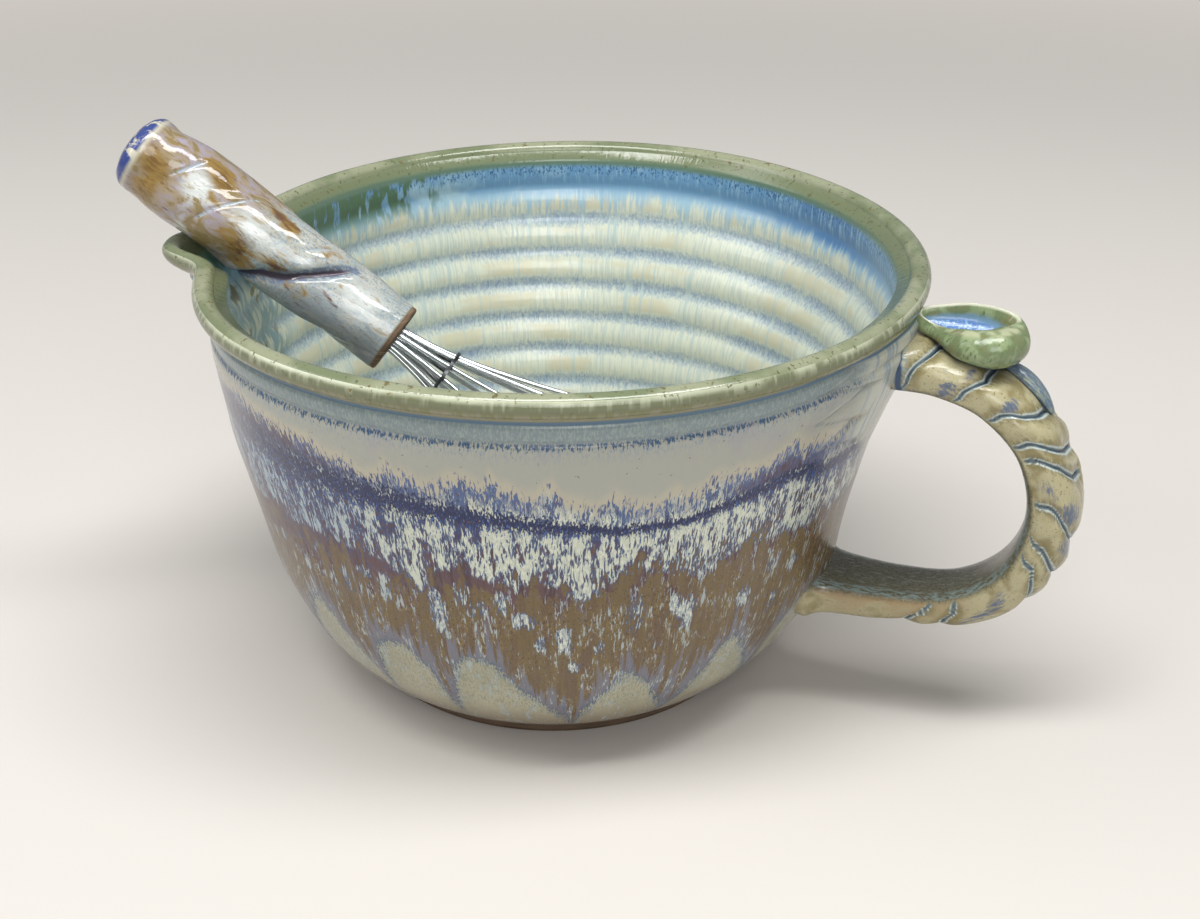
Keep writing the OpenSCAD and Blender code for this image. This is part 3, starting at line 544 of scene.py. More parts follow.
# Cream glaze that breaks to blue in the hollows between the throwing rings
def insideGlaze():
    material, tree = newFinish("runnyGlazeInside")
    place, up, spout, hollow, deepBlue, shade = marksOf(tree, "wallPlace upWall spout hollow deepBlue shade")
    hair = grain(tree, place, (0.9, 0.9, 7), 2.0, 0.6)
    drip = grain(tree, place, (2.2, 2.2, 50), 3.0, 0.6)
    drift = grain(tree, place, (22, 22, 14), 3.0)
    fleck = grain(tree, place, (0.8, 0.8, 1.3), 2.0, 0.7)
    bigFleck = grain(tree, place, 1.5, 2.0, 0.7)
    mottled = sums(tree, "MULTIPLY_ADD", drift, 1.4, hollow)
    speckled = sums(tree, "MULTIPLY_ADD", fleck, 2.6, mottled)
    streaks = grain(tree, place, (3.0, 3.0, 9), 2.0, 0.6)
    blotch = grain(tree, place, (6, 6, 7), 2.0)
    blueTop = passes(tree, up, 96.2, drip, 13.0, 5.0)
    colour = coats(tree, "#c9cdba", [
        ("#b9c2b8", (hair, 0.48, 0.6)),
        ("#c3c1a8", (drift, 0.46, 0.6), (hollow, 0.2, -0.6)),
        ("#a7b4b5", (speckled, 1.9, 2.9)),
        ("#93a2ac", (speckled, 2.5, 3.2)),
        ("#7a8ea5", (speckled, 2.9, 3.5), (hair, 0.48, 0.58)),
        ("#adbdb9", (drip, 0.56, 0.66), (up, 20, 60)),
        ("#9fb4bc", passes(tree, up, 93.5, drip, 30.0, 7.0), (hair, 0.44, 0.56)),
        ("#98b7c5", blueTop),
        ("#6690b2", blueTop, (up, 96, 101), (drift, 0.3, 0.5)),
        ("#4f78a5", blueTop, (up, 94, 99), deepBlue),
        ("#7ea3bb", blueTop, (up, 99, 103.5), (hair, 0.5, 0.66)),
        ("#3f6285", (up, 102, 105), (fleck, 0.5, 0.62)),
        ("#7c979b", (shade, 0.2, 0.7), (streaks, 0.4, 0.56)),
        ("#7a7152", (shade, 0.35, 0.8), (blotch, 0.56, 0.64)),
        ("#4d6a50", (up, 93, 101), (spout, 0.12, 0.3), passes(tree, spout, 0.4, streaks, 4.0, 0.5)),
        ("#617a68", (up, 105.4, 107.2)),
        ("#717a5c", (up, 107, 109)),
        ("#8f9378", (up, 109.4, 111.5), (drift, 0.4, 0.58)),
        ("#595d3e", (up, 107, 108.5), (bigFleck, 0.6, 0.68)),
        ("#80623a", (up, 107.4, 109), (bigFleck, 0.69, 0.73)),
    ])
    glossyGlaze(tree, colour, place, hair, 0.12)
    return material


# Unglazed stoneware of the foot: toasted brown, matt, with the fine lines of the turning tool
def bareStoneware():
    material, tree = newFinish("bareStoneware")
    place = addNode(tree, "TexCoord").outputs["Object"]
    fleck = grain(tree, place, 0.7, 3.0, 0.7)
    drift = grain(tree, place, 12, 2.0)
    lines = grain(tree, place, (60, 60, 0.5), 1.0)
    colour = coats(tree, "#6b5541", [
        ("#564432", (drift, 0.4, 0.65)),
        ("#3f3327", (fleck, 0.56, 0.7)),
        ("#7d6650", (lines, 0.52, 0.66)),
    ])
    surface(tree, {"Base Color": colour, "Roughness": 0.85}, lines, 0.00015, 0.5)
    return material


clayBare = bareStoneware()
stonewareBowl = makeBowl([clayBare, outsideGlaze(), insideGlaze()])

# The pulled handle: distance from the wall and height, thickness and width, as shares
strap = {
    "out": 52.5, "width": 21.0, "thick": 13.6,
    "rings": 620, "sides": 96, "pillow": 1.0, "crease": 0.8, "lineWidth": 0.62,
    "shares": [
        [0, 1, 0.96, 1.12], [0.24, 0.98, 0.84, 1.04], [0.53, 0.905, 0.82, 1], [0.83, 0.73, 0.9, 1],
        [1, 0.47, 1, 1], [0.965, 0.215, 0.97, 1], [0.735, 0.05, 0.83, 0.97], [0.39, 0.015, 0.75, 1],
        [0, 0.015, 0.86, 1.22],
    ],
    # Press lines of the twist: angle round the strap (90 outside, 180 near, 270 inside), share along it
    "lines": [
        {40: 0.112, 90: 0.097, 120: 0.088, 150: 0.07, 180: 0.055, 205: 0.035},
        {40: 0.226, 100: 0.212, 130: 0.209, 165: 0.19, 180: 0.18, 195: 0.17},
        {40: 0.34, 95: 0.323, 120: 0.312, 155: 0.288, 178: 0.27, 190: 0.262},
        {30: 0.41, 95: 0.39, 120: 0.376, 160: 0.353, 178: 0.34, 193: 0.33},
        {60: 0.444, 98: 0.43, 120: 0.415, 155: 0.39, 177: 0.376, 185: 0.368},
        {40: 0.556, 102: 0.532, 130: 0.512, 155: 0.485, 178: 0.46, 188: 0.452},
        {60: 0.61, 110: 0.588, 142: 0.568, 165: 0.553, 180: 0.541, 195: 0.523},
        {30: 0.69, 110: 0.655, 155: 0.615, 170: 0.60, 180: 0.58, 195: 0.565},
        {80: 0.80, 130: 0.785, 165: 0.77, 182: 0.75, 200: 0.742, 212: 0.745},
        {90: 0.86, 140: 0.84, 175: 0.823, 182: 0.803, 188: 0.795, 210: 0.788},
    ],
    # Blue-purple stains: angle, share along, half width (degrees), half length (share), strength
    "stains": [
        [152, 0.27, 22, 0.012, 1], [140, 0.476, 26, 0.017, 1], [120, 0.53, 30, 0.02, 0.7],
        [135, 0.178, 16, 0.01, 0.55], [183, 0.143, 14, 0.02, 0.7], [165, 0.7, 12, 0.05, 0.6],
        [110, 0.84, 18, 0.03, 0.7], [150, 0.36, 12, 0.01, 0.5], [172, 0.43, 10, 0.02, 0.5],
        [60, 0.3, 24, 0.02, 0.9], [40, 0.5, 26, 0.03, 0.9], [30, 0.7, 20, 0.03, 0.8],
        [350, 0.4, 20, 0.03, 0.7],
    ],
}
strapLength = 3.6 * strap["out"]  # about the length of its middle line


def strapLine(u):  # middle line of the strap and its thickness and width at u
    p = along(strap["shares"], u)
    z = blend(roots["low"], roots["high"], p[..., 1])
    beyond = np.minimum(u, 0) + np.minimum(1 - u, 0)
    x = wallRadius(z) + strap["out"] * p[..., 0] + beyond * strapLength
    return joined(x, 0, z), strap["thick"] * p[..., 2], strap["width"] * p[..., 3]


def strapOut(u):  # unit vector square to the strap, away from its inner face
    ahead = strapLine(u + 0.004)[0] - strapLine(u - 0.004)[0]
    ahead /= np.linalg.norm(ahead, axis=-1, keepdims=True)
    return joined(-ahead[..., 2], 0, ahead[..., 0])


# Carries a D-shaped cut along the strap: |cos|^0.8 wide, |sin|^0.85 round outside, |sin|^0.42 flat inside
def makeStrap(finish):
    u = np.linspace(-0.03, 1.03, strap["rings"])[:, None]
    turn = around(strap["sides"])
    degrees = np.degrees(turn)
    sine, cosine = np.sin(turn), np.cos(turn)
    centre, thick, width = strapLine(u)
    outward = strapOut(u)
    n = thick / 2 * np.sign(sine) * np.abs(sine) ** np.where(sine > 0, 0.85, 0.42)
    y = width / 2 * np.sign(cosine) * np.abs(cosine) ** 0.8
    back = smooth(sine * 1.5 + 0.9)  # 1 on the outer side, fading on the flat inner face
    near = np.full(np.broadcast(u, turn).shape, 99.0)
    crease = 0 * near
    for line in strap["lines"]:
        share = line[min(line)]
        inside = smooth((degrees - min(line)) / 12) * smooth((max(line) - degrees) / 10 + 1)
        wobble = 0.9 * (cloud(degrees / 17 + share * 90, turn * 0 + share * 50, 21) - 0.5)
        gap = (u - read(line, degrees)) * strapLength + wobble
        near = np.where(inside > 0.3, np.minimum(near, np.abs(gap)), near)
        crease = np.maximum(crease, inside * bump(gap / strap["lineWidth"]))
    calm = smooth((u + 0.01) * 24) * smooth((0.95 - u) * 9)
    lumps = (cloud(u * 30 + 3, turn * 1.9, 31, 60) - 0.5) * 0.7
    cut = (strap["crease"] * crease + strap["pillow"] * bump(near / 3.3)) * calm * back - lumps * smooth(back)
    flare = 1 + 0.2 * bump((1 - u) * strapLength / 4.5)
    rings = centre + outward * ((n * flare - cut * np.maximum(sine, 0.25))[..., None]) \
        + (y * flare * (1 - 0.05 * cut))[..., None] * np.array([0, 1, 0])
    sunk = (wallRadius(rings[..., 2]) - 2.8) / np.hypot(rings[..., 0], rings[..., 1])
    rings[..., :2] *= np.maximum(sunk, 1)[..., None]  # the roots end 2.8 mm inside the wall
    place = joined(u * strapLength, y, n) * mm
    marks = {
        "strapPlace": place,
        "crease": crease * calm * back,
        # beside: a band along each press line, carrying its blue-grey halo and a painted highlight
        "beside": bump((near - 1.05) / 0.55) * calm * back,
        # 1 away from the press lines, falling to 0 at them: carries the painted highlight on the ridges and
        # the painted shade beside the lines
        "ridge": 1 - bump(near / 4.5) * back,
        "innerFace": smooth(-sine * 2.2 - 0.35),
        "innerEdge": bump((turnedBy(degrees - 222)) / 17) + bump(turnedBy(degrees - 318) / 17),
        "stain": spots(degrees, u, strap["stains"], 300.0),
        "warm": smooth((u - 0.68) / 0.1) * bump(turnedBy(degrees - 205) / 32),
        "topRoot": np.maximum(bump((u - 0.012 - 0.00025 * np.abs(degrees - 105)) * strapLength / 3.6),
                              bump((u - 0.103 + 0.0009 * (degrees - 88) * (degrees < 88)) * strapLength / 1.2)
                              * smooth((102 - degrees) / 8) * smooth((degrees - 58) / 6)),
        "lowRoot": bump((u - 0.999) * strapLength / 2.2) * smooth((degrees - 190) / 30),
    }
    return closedSkin("pulledHandle", rings, "bowl", ["handle"], [finish], marks)


# Ochre glaze with blue hairs where it pooled, painted highlight on the ridges and painted shade near the
# press lines
def strapGlaze(name, base, dark, stainTone, light, streaky=0.0):
    material, tree = newFinish(name)
    place, crease, beside, ridge, inner, edge, stain, warm, topRoot, lowRoot = marksOf(
        tree, "strapPlace crease beside ridge innerFace innerEdge stain warm topRoot lowRoot")
    hair = grain(tree, place, (3.0, 0.7, 0.7), 3.0, 0.65, 0.3)
    long = grain(tree, place, (12, 1.0, 1.0), 2.0, 0.6)
    drift = grain(tree, place, (9, 6, 6), 2.0)
    fleck = grain(tree, place, 0.7, 2.0, 0.7)
    stained = ramp(tree, stain, 0.08, 0.36)
    colour = coats(tree, base, [
        (light, (drift, 0.42, 0.62)),
        # painted highlight on the ridges between the press lines
        (light, (ridge, 0.35, 0.95), (drift, 0.3, 0.5)),
        (dark, (fleck, 0.6, 0.72)),
        ("#8f8a76", (hair, 0.58, 0.72)),
        ("#66798a", (long, 0.7 - streaky, 0.78 - streaky)),
        ("#9a8360", warm, (drift, 0.35, 0.6)),
        # painted shade near the press lines of the strap
        ("#77704f", (ridge, 0.55, 0.1), (hair, 0.38, 0.56)),
        (stainTone, stained, passes(tree, stain, 0.32, hair, 4.0, 1.1)),
        ("#5b6778", stained, passes(tree, stain, 0.62, hair, 4.0, 0.9)),
        ("#7f8b88", (beside, 0.02, 0.6), (hair, 0.5, 0.6)),
        ("#5f5c4b", inner),
        ("#4a4738", inner, (fleck, 0.5, 0.62)),
        ("#77796c", inner, (hair, 0.54, 0.66)),
        ("#76837f", (edge, 0.35, 0.9), (hair, 0.42, 0.56)),
        ("#8d9a98", (topRoot, 0.05, 0.5), (hair, 0.4, 0.56)),
        # painted highlight along the press lines
        ("#b3bdb9", (beside, 0.35, 0.85), (fleck, 0.34, 0.48)),
        ("#5f6f74", (crease, 0.15, 0.45)),
        ("#3a4856", (crease, 0.55, 0.9)),
        ("#2f4664", (topRoot, 0.62, 0.95)),
        ("#474133", lowRoot),
    ])
    glossyGlaze(tree, colour, place, hair, 0.14)
    return material


pulledHandle = makeStrap(strapGlaze("ochreGlaze", "#877c56", "#6a6040", "#74757b", "#aaa381"))
strand = {"from": 0.21, "to": 0.335, "wide": 5.8, "flat": 0.72, "side": 0.2, "sunk": 0.8, "seat": 0.58}


# A half-round strand laid on the back of the strap, thin at both ends: radius * sin^0.7
def makeStrand(finish):
    t = np.linspace(0, 1, 120)[:, None]
    turn = around(32)
    u = blend(strand["from"], strand["to"], t)
    centre, thick, width = strapLine(u)
    outward = strapOut(u)
    radius = strand["wide"] / 2 * np.sin(np.pi * blend(0.06, 0.94, t)) ** 0.7
    seat = thick / 2 - strand["sunk"] + radius * strand["seat"]
    side = width * strand["side"] * blend(1, 0.4, t)
    rings = centre + outward * (seat + radius * strand["flat"] * np.sin(turn))[..., None] \
        + (side + radius * np.cos(turn))[..., None] * np.array([0, 1, 0])
    marks = dict.fromkeys("beside ridge innerFace innerEdge warm topRoot lowRoot".split(), 0)
    marks["strapPlace"] = joined(u * strapLength, radius * np.cos(turn), radius * np.sin(turn)) * mm
    marks["crease"] = bump((np.sin(turn) + 0.3) / 0.25)
    marks["stain"] = 0.35
    return closedSkin("laidStrand", rings, "bowl", ["handle_strand"], [finish], marks)


laidStrand = makeStrand(strapGlaze("blueGreenGlaze", "#84907f", "#57635c", "#557292", "#a6a98c", 0.2))

# The thumb rest: a strip curled over on itself. Its outline is x, y and height as shares, anticlockwise
thumb = {
    "length": 31.5, "width": 21.0, "height": 9.6, "slope": 13.0, "rows": 170, "sides": 170,
    "hollow": [-0.02, 0.14, 0.8],
    "outline": [
        [0.49, 0.04, 1.24], [0.37, 0.41, 1.34], [0.1, 0.49, 1.28], [-0.18, 0.4, 1.08], [-0.5, 0.18, 0.58],
        [-0.24, -0.05, 0.36], [0, -0.41, 0.76], [0.32, -0.4, 1.14],
    ],
    "roll": [
        [0.1, 0], [0.62, 0.02], [0.88, 0.14], [1, 0.42], [0.96, 0.72], [0.8, 0.95], [0.6, 1.02],
        [0.42, 0.93], [0.29, 0.7], [0.2, 0.5], [0.08, 0.42],
    ],
    "edge": [
        [0.1, 0], [0.62, 0.02], [0.88, 0.14], [0.97, 0.4], [0.96, 0.66], [0.91, 0.84], [0.84, 0.9],
        [0.76, 0.79], [0.67, 0.56], [0.4, 0.44], [0.08, 0.42],
    ],
}


# Each row is the outline drawn in towards the hollow; the cut goes from a thin rim to a thick roll round it
def makeThumbRest(finish):
    t = np.linspace(0, 1, thumb["rows"])[:, None]
    a = around(thumb["sides"])
    outline = thumb["outline"]
    loop = [outline[-1]] + outline + outline[:2]
    edge = along(loop, (1 + 8 * a / (2 * np.pi)) / 10)
    curl = smooth((np.cos(a + np.pi / 3) + 0.35) / 1.1)
    p = blend(along(thumb["edge"], t), along(thumb["roll"], t), curl[..., None])
    q = blend(np.array(thumb["hollow"]), edge, p[..., :1])
    local = joined(thumb["length"] * q[..., 0], thumb["width"] * q[..., 1],
                   thumb["height"] * p[..., 1] * q[..., 2])
    slope = np.radians(thumb["slope"])
    rings = joined(local[..., 0] * np.cos(slope) + local[..., 2] * np.sin(slope), local[..., 1],
                   -local[..., 0] * np.sin(slope) + local[..., 2] * np.cos(slope))
    low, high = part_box("thumb_rest")
    reach = rings.reshape(-1, 3)
    middle = (reach[:, 0].min() + reach[:, 0].max()) / 2
    shift = [(low.x + high.x) / 2 / mm - middle, 0, high.z / mm - reach[:, 2].max() - 0.05]
    # the top of the roll and the far rim carry painted highlights; foot carries painted shade on the
    # underside
    marks = {"strapPlace": local * mm, "well": smooth((t - 0.66) * 4.2), "foot": smooth((0.26 - t) * 9),
             "crown": bump((t - 0.55) / 0.1) * curl, "rim": bump((t - 0.6) / 0.06) * (1 - curl),
             "greenSide": smooth((t - 0.56) * 5) * bump(turnedBy(np.degrees(a) + 10) / 50)}
    return closedSkin("thumbRest", rings + shift, "bowl", ["thumb_rest"], [finish], marks)


# Sage green glaze on the roll, pooled to glassy blue in the well, with painted highlight on the top of the
# roll and its far rim and painted shade underneath
def thumbGlaze():
    material, tree = newFinish("sageGlaze")
    place, well, foot, crown, rim, green = marksOf(tree, "strapPlace well foot crown rim greenSide")
    hair = grain(tree, place, (0.8, 0.8, 3), 3.0, 0.6, 0.3)
    drift = grain(tree, place, (5, 4, 5), 2.0)
    fleck = grain(tree, place, 0.7, 2.0, 0.7)
    wide = sums(tree, "MULTIPLY_ADD", drift, 0.5, well)
    colour = coats(tree, "#6f7f5b", [
        ("#8b9a72", (drift, 0.46, 0.6)),
        ("#7d7550", (drift, 0.48, 0.36), (hair, 0.4, 0.6)),
        ("#60714f", (hair, 0.54, 0.68)),
        # painted highlight on the top of the roll, broken by drift
        ("#a9ad8b", (crown, 0.5, 1.0), (drift, 0.36, 0.56)),
        # painted highlight along the thin far rim
        ("#c3c4ac", (rim, 0.3, 0.9)),
        ("#6f8ea5", (wide, 0.42, 0.75)),
        ("#5577ad", (wide, 0.75, 1.1)),
        ("#8fb3c6", (wide, 0.9, 1.2), (fleck, 0.5, 0.62)),
        ("#4f7257", (green, 0.3, 0.8)),
        # painted shade on the underside and lower edge
        ("#4e6575", (foot, 0.3, 0.8)),
    ])
    glossyGlaze(tree, colour, place, hair, 0.1)
    return material


thumbRest = makeThumbRest(thumbGlaze())

# The whisk, built along its own +Z from the mouth of the grip, then laid in the spout
whisk = {
    "slope": 35.6, "turn": 9.0, "gripLength": 87.3, "gripWide": 24.1, "mouthWide": 21.4, "flute": 1.0,
    "foldDeep": 1.5, "bore": 9.4, "boreDeep": 15.0, "wire": 1.5, "loops": 5, "balloonLength": 121.5,
    "balloonWide": 48.0, "neck": 3.36, "holeRing": 6.0, "discShare": 0.1325,
    "gripShares": [
        [0, 0.2], [0.01, 0.52], [0.024, 0.75], [0.045, 0.89], [0.07, 0.915], [0.1, 0.92], [0.15, 0.98],
        [0.25, 1], [0.5, 0.97], [0.75, 0.92], [0.94, 0.885], [1, 0.86],
    ],
    # The deep fold that winds round the grip: share along it, angle (-90 faces the photographer)
    "fold": {0.28: 70, 0.4: 20, 0.48: -25, 0.5: -40, 0.55: -70, 0.62: -90, 0.69: -124, 0.79: -175,
             0.88: -225},
    # Legs: share of the length, then shares of the neck's, the disc's hole ring's and the balloon's radius
    "legs": [
        [-0.1, 1, 0, 0], [-0.03, 1, 0, 0], [0.03, 0.88, 0.12, 0], [0.1325, 0, 1, 0], [0.316, 0, 0, 0.52],
        [0.51, 0, 0, 0.82], [0.694, 0, 0, 0.99], [0.847, 0, 0, 0.93], [0.949, 0, 0, 0.65],
        [0.995, 0, 0, 0.27], [1, 0, 0, 0],
    ],
    # Stains of the swirled glazes: angle, share along, half width (degrees), half length (share), strength
    "amber": [
        [-155, 0.3, 16, 0.06, 1], [-163, 0.52, 13, 0.09, 1], [-85, 0.45, 24, 0.06, 0.9],
        [-110, 0.12, 26, 0.06, 1], [-70, 0.13, 30, 0.05, 0.8], [-97, 0.6, 14, 0.05, 0.8],
        [20, 0.3, 22, 0.07, 1], [70, 0.5, 18, 0.08, 1], [120, 0.15, 30, 0.05, 1],
        [150, 0.42, 16, 0.06, 0.8], [10, 0.12, 26, 0.05, 0.9], [-20, 0.55, 12, 0.07, 0.7],
    ],
    "umber": [
        [-163, 0.5, 6, 0.045, 1], [-96, 0.61, 9, 0.045, 1], [-88, 0.46, 12, 0.02, 0.6],
        [-108.5, 0.76, 3.5, 0.04, 0.9], [70, 0.52, 8, 0.05, 1], [22, 0.28, 8, 0.04, 0.8],
        [-150, 0.28, 6, 0.02, 0.6],
    ],
    "milk": [
        [-125, 0.26, 26, 0.05, 1], [-120, 0.47, 18, 0.09, 1], [-128, 0.66, 14, 0.05, 1],
        [-135, 0.85, 30, 0.12, 0.8], [50, 0.65, 30, 0.08, 0.9], [100, 0.33, 26, 0.06, 1],
        [-60, 0.28, 20, 0.03, 0.6], [0, 0.85, 40, 0.1, 0.7],
    ],
    "seams": [
        {-165: 0.24, -110: 0.17}, {-175: 0.44, -110: 0.33, -80: 0.3}, {-179: 0.7, -140: 0.62},
        {20: 0.4, 80: 0.32}, {100: 0.6, 160: 0.52},
    ],
}
whiskTurn = np.array(Matrix.Rotation(np.radians(whisk["turn"]), 3, "Z")
                     @ Matrix.Rotation(np.radians(90 + whisk["slope"]), 3, "Y"))
discLow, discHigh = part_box("spreader_disc")
discPlace = np.array((discLow + discHigh) / 2) / mm
mouthPlace = discPlace - whiskTurn @ np.array([0, 0, whisk["balloonLength"] * whisk["discShare"]])
print("mouth of the grip at", mouthPlace.round(2))


def laid(points):  # from the whisk's own frame to its place in the bowl
    return points @ whiskTurn.T + mouthPlace


# A lathe-like skin: radius from the share table, less three soft flutes and one deep fold that wind round it
def makeGrip(finish, clay):
    v = np.concatenate([np.linspace(0, 0.12, 70), np.linspace(0.124, 0.99, 250)])[:, None]
    a = np.linspace(0, 360, 180, endpoint=False)[None, :]
    share = along(whisk["gripShares"], np.interp(v, np.array(whisk["gripShares"])[:, 0],
                                                 np.linspace(0, 1, len(whisk["gripShares"]))))[..., 1]
    calm = smooth(v * 7) * smooth((1 - v) * 14 + 0.25)
    flute = 1 - np.abs(np.cos(np.radians(3 * (a + 260 * v) / 2)))
    gap = turnedBy(a - read(whisk["fold"], v))
    held = smooth((v - 0.36) * 9) * smooth((0.84 - v) * 9)
    fold = bump(gap / 11) * held
    lip = bump((gap + 25) / 20) * held
    seam = 0 * fold
    side = a - 360 * (a > 180)  # the angle from -180 to 180
    for line in whisk["seams"]:
        ends = smooth((side - min(line)) / 12) * smooth((max(line) - side) / 12)
        seam = np.maximum(seam, bump((v - read(line, side)) / 0.0085) * ends)
    taper = blend(1, whisk["mouthWide"] / whisk["gripWide"] / 0.885, smooth(v))
    lumps = 0.4 * cloud(v * 14, a / 40, 41, 9)
    radius = whisk["gripWide"] / 2 * share * taper - 0.28 * smooth((v - 0.978) / 0.008) \
        - (flute * whisk["flute"] + whisk["foldDeep"] * fold - 0.35 * lip + 0.35 * seam + lumps) * calm
    turn = np.radians(a)
    z = whisk["gripLength"] * (v - 1)
    outer = joined(radius * np.cos(turn), radius * np.sin(turn), z)
    last, bore, deep = radius[-1:], whisk["bore"] / 2, whisk["boreDeep"]
    ends = [(last, -0.7), (last * 0.985, -0.3), (last * 0.955, -0.06), (last * 0.92, 0.0), (last * 0.72, 0.0),
            (bore + 0.5, 0.0), (bore + 0.1, -0.15), (bore, -0.6), (bore, -8), (bore, 0.2 - deep),
            (bore - 0.4, -deep), (1.5, -deep)]
    tail = np.concatenate([joined(r * np.cos(turn), r * np.sin(turn), height) for r, height in ends])
    rings = np.concatenate([outer, tail])
    longer = lambda mark: np.concatenate([mark + 0 * v + 0 * a, np.zeros((len(ends), a.shape[1]))])
    marks = {name: longer(spots(a, v, whisk[name], tilt))
             for name, tilt in (("amber", -120.0), ("umber", -120.0), ("milk", -60.0))}
    marks |= {"gripPlace": rings * mm, "gripShare": np.concatenate([v, np.ones((len(ends), 1))]),
              "fold": longer(fold * calm), "seam": longer(seam * calm),
              "cool": longer(bump(turnedBy(a + 60) / 45))}
    slots = np.concatenate([v[1:, 0] > 0.984, np.ones(len(ends), bool)]).astype(int)
    return closedSkin("whiskGrip", laid(rings), "whisk", ["whisk_grip"], [finish, clay], marks, slots)


# White and ochre glazes swirled together over the twist, blue where they pool
def gripGlaze():
    material, tree = newFinish("swirledGlaze")
    place, share, fold, seam, amber, umber, milk, cool = marksOf(
        tree, "gripPlace gripShare fold seam amber umber milk cool")
    hair = grain(tree, place, (0.8, 0.8, 3.5), 3.0, 0.6, 0.3)
    drift = grain(tree, place, (6, 6, 9), 2.0)
    swirl = grain(tree, place, (4, 4, 8), 3.0, 0.6, 0.8)
    fleck = grain(tree, place, 0.7, 2.0, 0.7)
    upper = ramp(tree, share, 0.56, 0.36)
    colour = coats(tree, "#a6ada8", [
        ("#b7b7ac", (drift, 0.42, 0.6)),
        ("#8a99a3", (fleck, 0.5, 0.6)),
        ("#9a8c78", upper),
        ("#9991a2", upper, (swirl, 0.48, 0.58)),
        ("#877650", upper, (swirl, 0.48, 0.38)),
        ("#82858a", cool, (share, 0.5, 0.8)),
        ("#bfc3bf", passes(tree, milk, 0.5, swirl, 3.0, 0.9)),
        ("#d3d6d2", passes(tree, milk, 0.85, hair, 3.0, 0.7)),
        ("#8c7341", passes(tree, amber, 0.4, swirl, 2.5, 0.6)),
        ("#715630", passes(tree, amber, 0.85, hair, 3.0, 0.8)),
        ("#62493a", passes(tree, umber, 0.55, hair, 3.0, 0.8)),
        ("#a3afb8", (seam, 0.35, 0.95), (hair, 0.4, 0.52)),
        ("#6f7b8e", (fold, 0.12, 0.4), (hair, 0.38, 0.54)),
        ("#4a3f4b", (fold, 0.5, 0.9)),
        ("#c3bfab", (share, 0.075, 0.055)),
        ("#35447f", (share, 0.062, 0.045), (swirl, 0.4, 0.5)),
        ("#b9b8b0", (share, 0.016, 0.006)),
        ("#8a7a63", (share, 0.976, 0.984)),
    ])
    glossyGlaze(tree, colour, place, swirl, 0.08)
    return material


whiskGrip = makeGrip(gripGlaze(), clayBare)


# Bright drawn stainless wire: a smooth clean metal
def springWire():
    material, tree = newFinish("stainlessWire")
    surface(tree, {"Base Color": linear("#cfd1d3"), "Metallic": 1.0, "Roughness": 0.14})
    return material


# A round tube along a loop: out to the balloon's width and back, each loop a little shorter than the last
def makeLoop(number, finish):
    legs = np.array(whisk["legs"])
    shares = np.concatenate([legs, legs[-2::-1] * [1, -1, -1, -1]])

    def where(w):
        p = along(shares, w)
        radius = whisk["neck"] * p[:, 1] + whisk["holeRing"] * p[:, 2] + whisk["balloonWide"] / 2 * p[:, 3]
        shorter = number * whisk["wire"] * 1.25 * smooth((p[:, 0] - whisk["discShare"]) * 1.6)
        return joined(radius, 0, whisk["balloonLength"] * p[:, 0] - shorter)

    u = np.linspace(0, 1, 240)
    centre = where(u)
    ahead = where(np.minimum(u + 0.004, 1)) - where(np.maximum(u - 0.004, 0))
    ahead /= np.linalg.norm(ahead, axis=1, keepdims=True)
    side = joined(ahead[:, 2], 0, -ahead[:, 0])[:, None, :]
    a = around(16)[..., None]
    rings = centre[:, None, :] + whisk["wire"] / 2 * (side * np.cos(a) + np.array([0, 1, 0]) * np.sin(a))
    turn = np.array(Matrix.Rotation(np.radians(180 / whisk["loops"] * number), 3, "Z"))
    node = f"wire_loop_{number + 1}"
    return closedSkin(f"wireLoop{number + 1}", laid(rings @ turn.T), "whisk", [node], [finish])


wireFinish = springWire()
for number in range(whisk["loops"]):
    makeLoop(number, wireFinish)


# Pressed steel disc: dark grey metal with lighter patches
def darkSteel():
    material, tree = newFinish("darkGreySteel")
    place = addNode(tree, "TexCoord").outputs["Object"]
    drift = grain(tree, place, 2, 2.0)
    colour = coats(tree, "#4a4b4d", [("#7b7d80", ramp(tree, drift, 0.5, 0.7))])
    surface(tree, {"Base Color": colour, "Metallic": 1.0, "Roughness": 0.35})
    return material


# Hard grey cement that holds the wires: matt and gritty
def socketCement():
    material, tree = newFinish("socketCement")
    place = addNode(tree, "TexCoord").outputs["Object"]
    fleck = grain(tree, place, 0.6, 3.0, 0.7)
    colour = coats(tree, "#3b362f", [("#5a5248", ramp(tree, fleck, 0.5, 0.65))])
    surface(tree, {"Base Color": colour, "Roughness": 0.9}, fleck)
    return material


for node, finish in (("spreader_disc", darkSteel()), ("wire_socket", socketCement())):
    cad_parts[node].data.materials.clear()
    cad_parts[node].data.materials.append(finish)
print("whisk laid in the spout")

# A plain pale floor that runs out into a pale sky
studio = {"floor": "#cfcac3", "sky": "#d3cec7", "half": 3.0, "fadeFrom": 0.5, "fadeTo": 1.15}


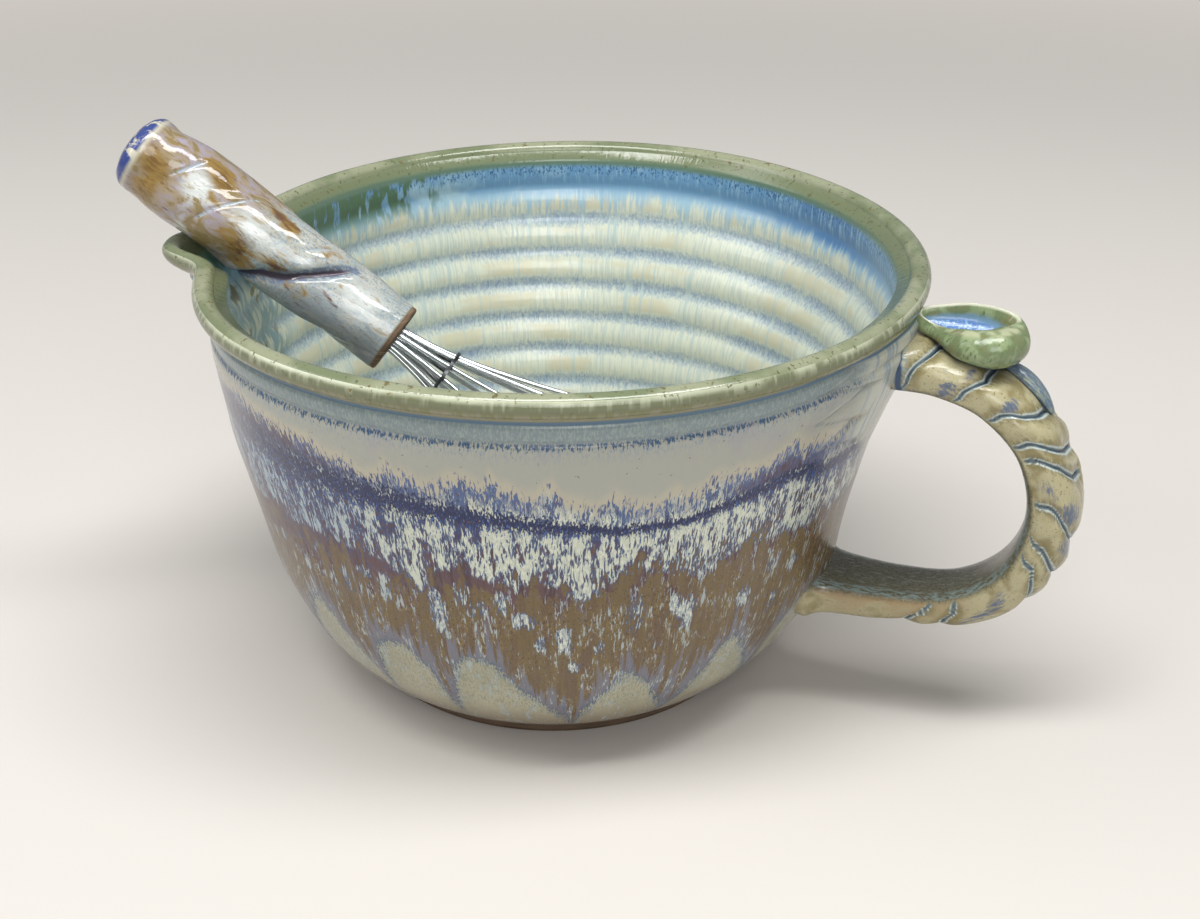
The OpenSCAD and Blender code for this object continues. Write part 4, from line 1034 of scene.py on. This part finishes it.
# A flat square that the camera sees fade into the sky's colour with the distance from the bowl
def makeFloor():
    half = studio["half"]
    mesh = bpy.data.meshes.new("paleFloor")
    corners = [(-half, -half, 0), (half, -half, 0), (half, half, 0), (-half, half, 0)]
    mesh.from_pydata(corners, [], [(0, 1, 2, 3)])
    material, tree = newFinish("palePaper")
    paper = addNode(tree, "BsdfPrincipled", {"Base Color": linear(studio["floor"]), "Roughness": 0.75})
    glow = addNode(tree, "Emission", {"Color": linear(studio["sky"])})
    place = addNode(tree, "TexCoord").outputs["Object"]
    away = addNode(tree, "VectorMath", {0: place}, operation="LENGTH").outputs["Value"]
    seen = addNode(tree, "LightPath").outputs["Is Camera Ray"]
    faded = sums(tree, "MULTIPLY", ramp(tree, away, studio["fadeFrom"], studio["fadeTo"]), seen)
    both = addNode(tree, "MixShader", {0: faded, 1: paper.outputs[0], 2: glow.outputs[0]})
    addNode(tree, "OutputMaterial", {"Surface": both.outputs[0]})
    mesh.materials.append(material)
    floor = added("paleFloor", mesh)


makeFloor()

# Soft studio light: a long overhead panel, a front fill, a weaker one from the left and an even room
lamps = {
    "overhead": {"at": (0.15, -0.25, 1.25), "size": (1.3, 0.32), "watts": 18.5},
    "front": {"at": (0.7, -1.3, 0.9), "size": (0.8, 0.8), "watts": 9.0},
    "left": {"at": (-1.1, -0.5, 0.9), "size": (0.6, 0.9), "watts": 5.0},
}
for name, lamp in lamps.items():
    data = bpy.data.lights.new(name, "AREA")
    data.shape = "RECTANGLE"
    data.size, data.size_y = lamp["size"]
    data.energy = lamp["watts"]
    light = added(name, data)
    light.location = lamp["at"]
    light.rotation_euler = (Vector((0, 0, 0.06)) - Vector(lamp["at"])).to_track_quat("-Z", "Y").to_euler()
world = bpy.data.worlds.new("room")
bpy.context.scene.world = world
world.use_nodes = True
world.node_tree.nodes.clear()
room = addNode(world.node_tree, "Background", {"Color": linear("#e9edf2"), "Strength": 0.31})
pale = addNode(world.node_tree, "Background", {"Color": linear(studio["sky"]), "Strength": 1.0})
seen = addNode(world.node_tree, "LightPath").outputs["Is Camera Ray"]
both = addNode(world.node_tree, "MixShader", {0: seen, 1: room.outputs[0], 2: pale.outputs[0]})
addNode(world.node_tree, "OutputWorld", {"Surface": both.outputs[0]})

# The camera stands where the photograph was taken
camera = {"at": (0.1705, -0.4220, 0.2794), "lens": 54.0, "heading": 20.4, "down": 26.23, "roll": 0.05}
heading, down = np.radians(camera["heading"]), np.radians(camera["down"])
look = Vector((-np.sin(heading) * np.cos(down), np.cos(heading) * np.cos(down), -np.sin(down)))
eye = added("camera", bpy.data.cameras.new("camera"))
eye.data.lens = camera["lens"]
eye.data.sensor_width = 36.0
eye.data.clip_start = 0.01
turned = look.to_track_quat("-Z", "Y").to_matrix().to_4x4()
rolled = Matrix.Rotation(np.radians(camera["roll"]), 4, "Z")
eye.matrix_world = Matrix.Translation(camera["at"]) @ (turned @ rolled)
bpy.context.scene.camera = eye
bpy.context.scene.view_settings.view_transform = "Standard"
print("light and camera set")
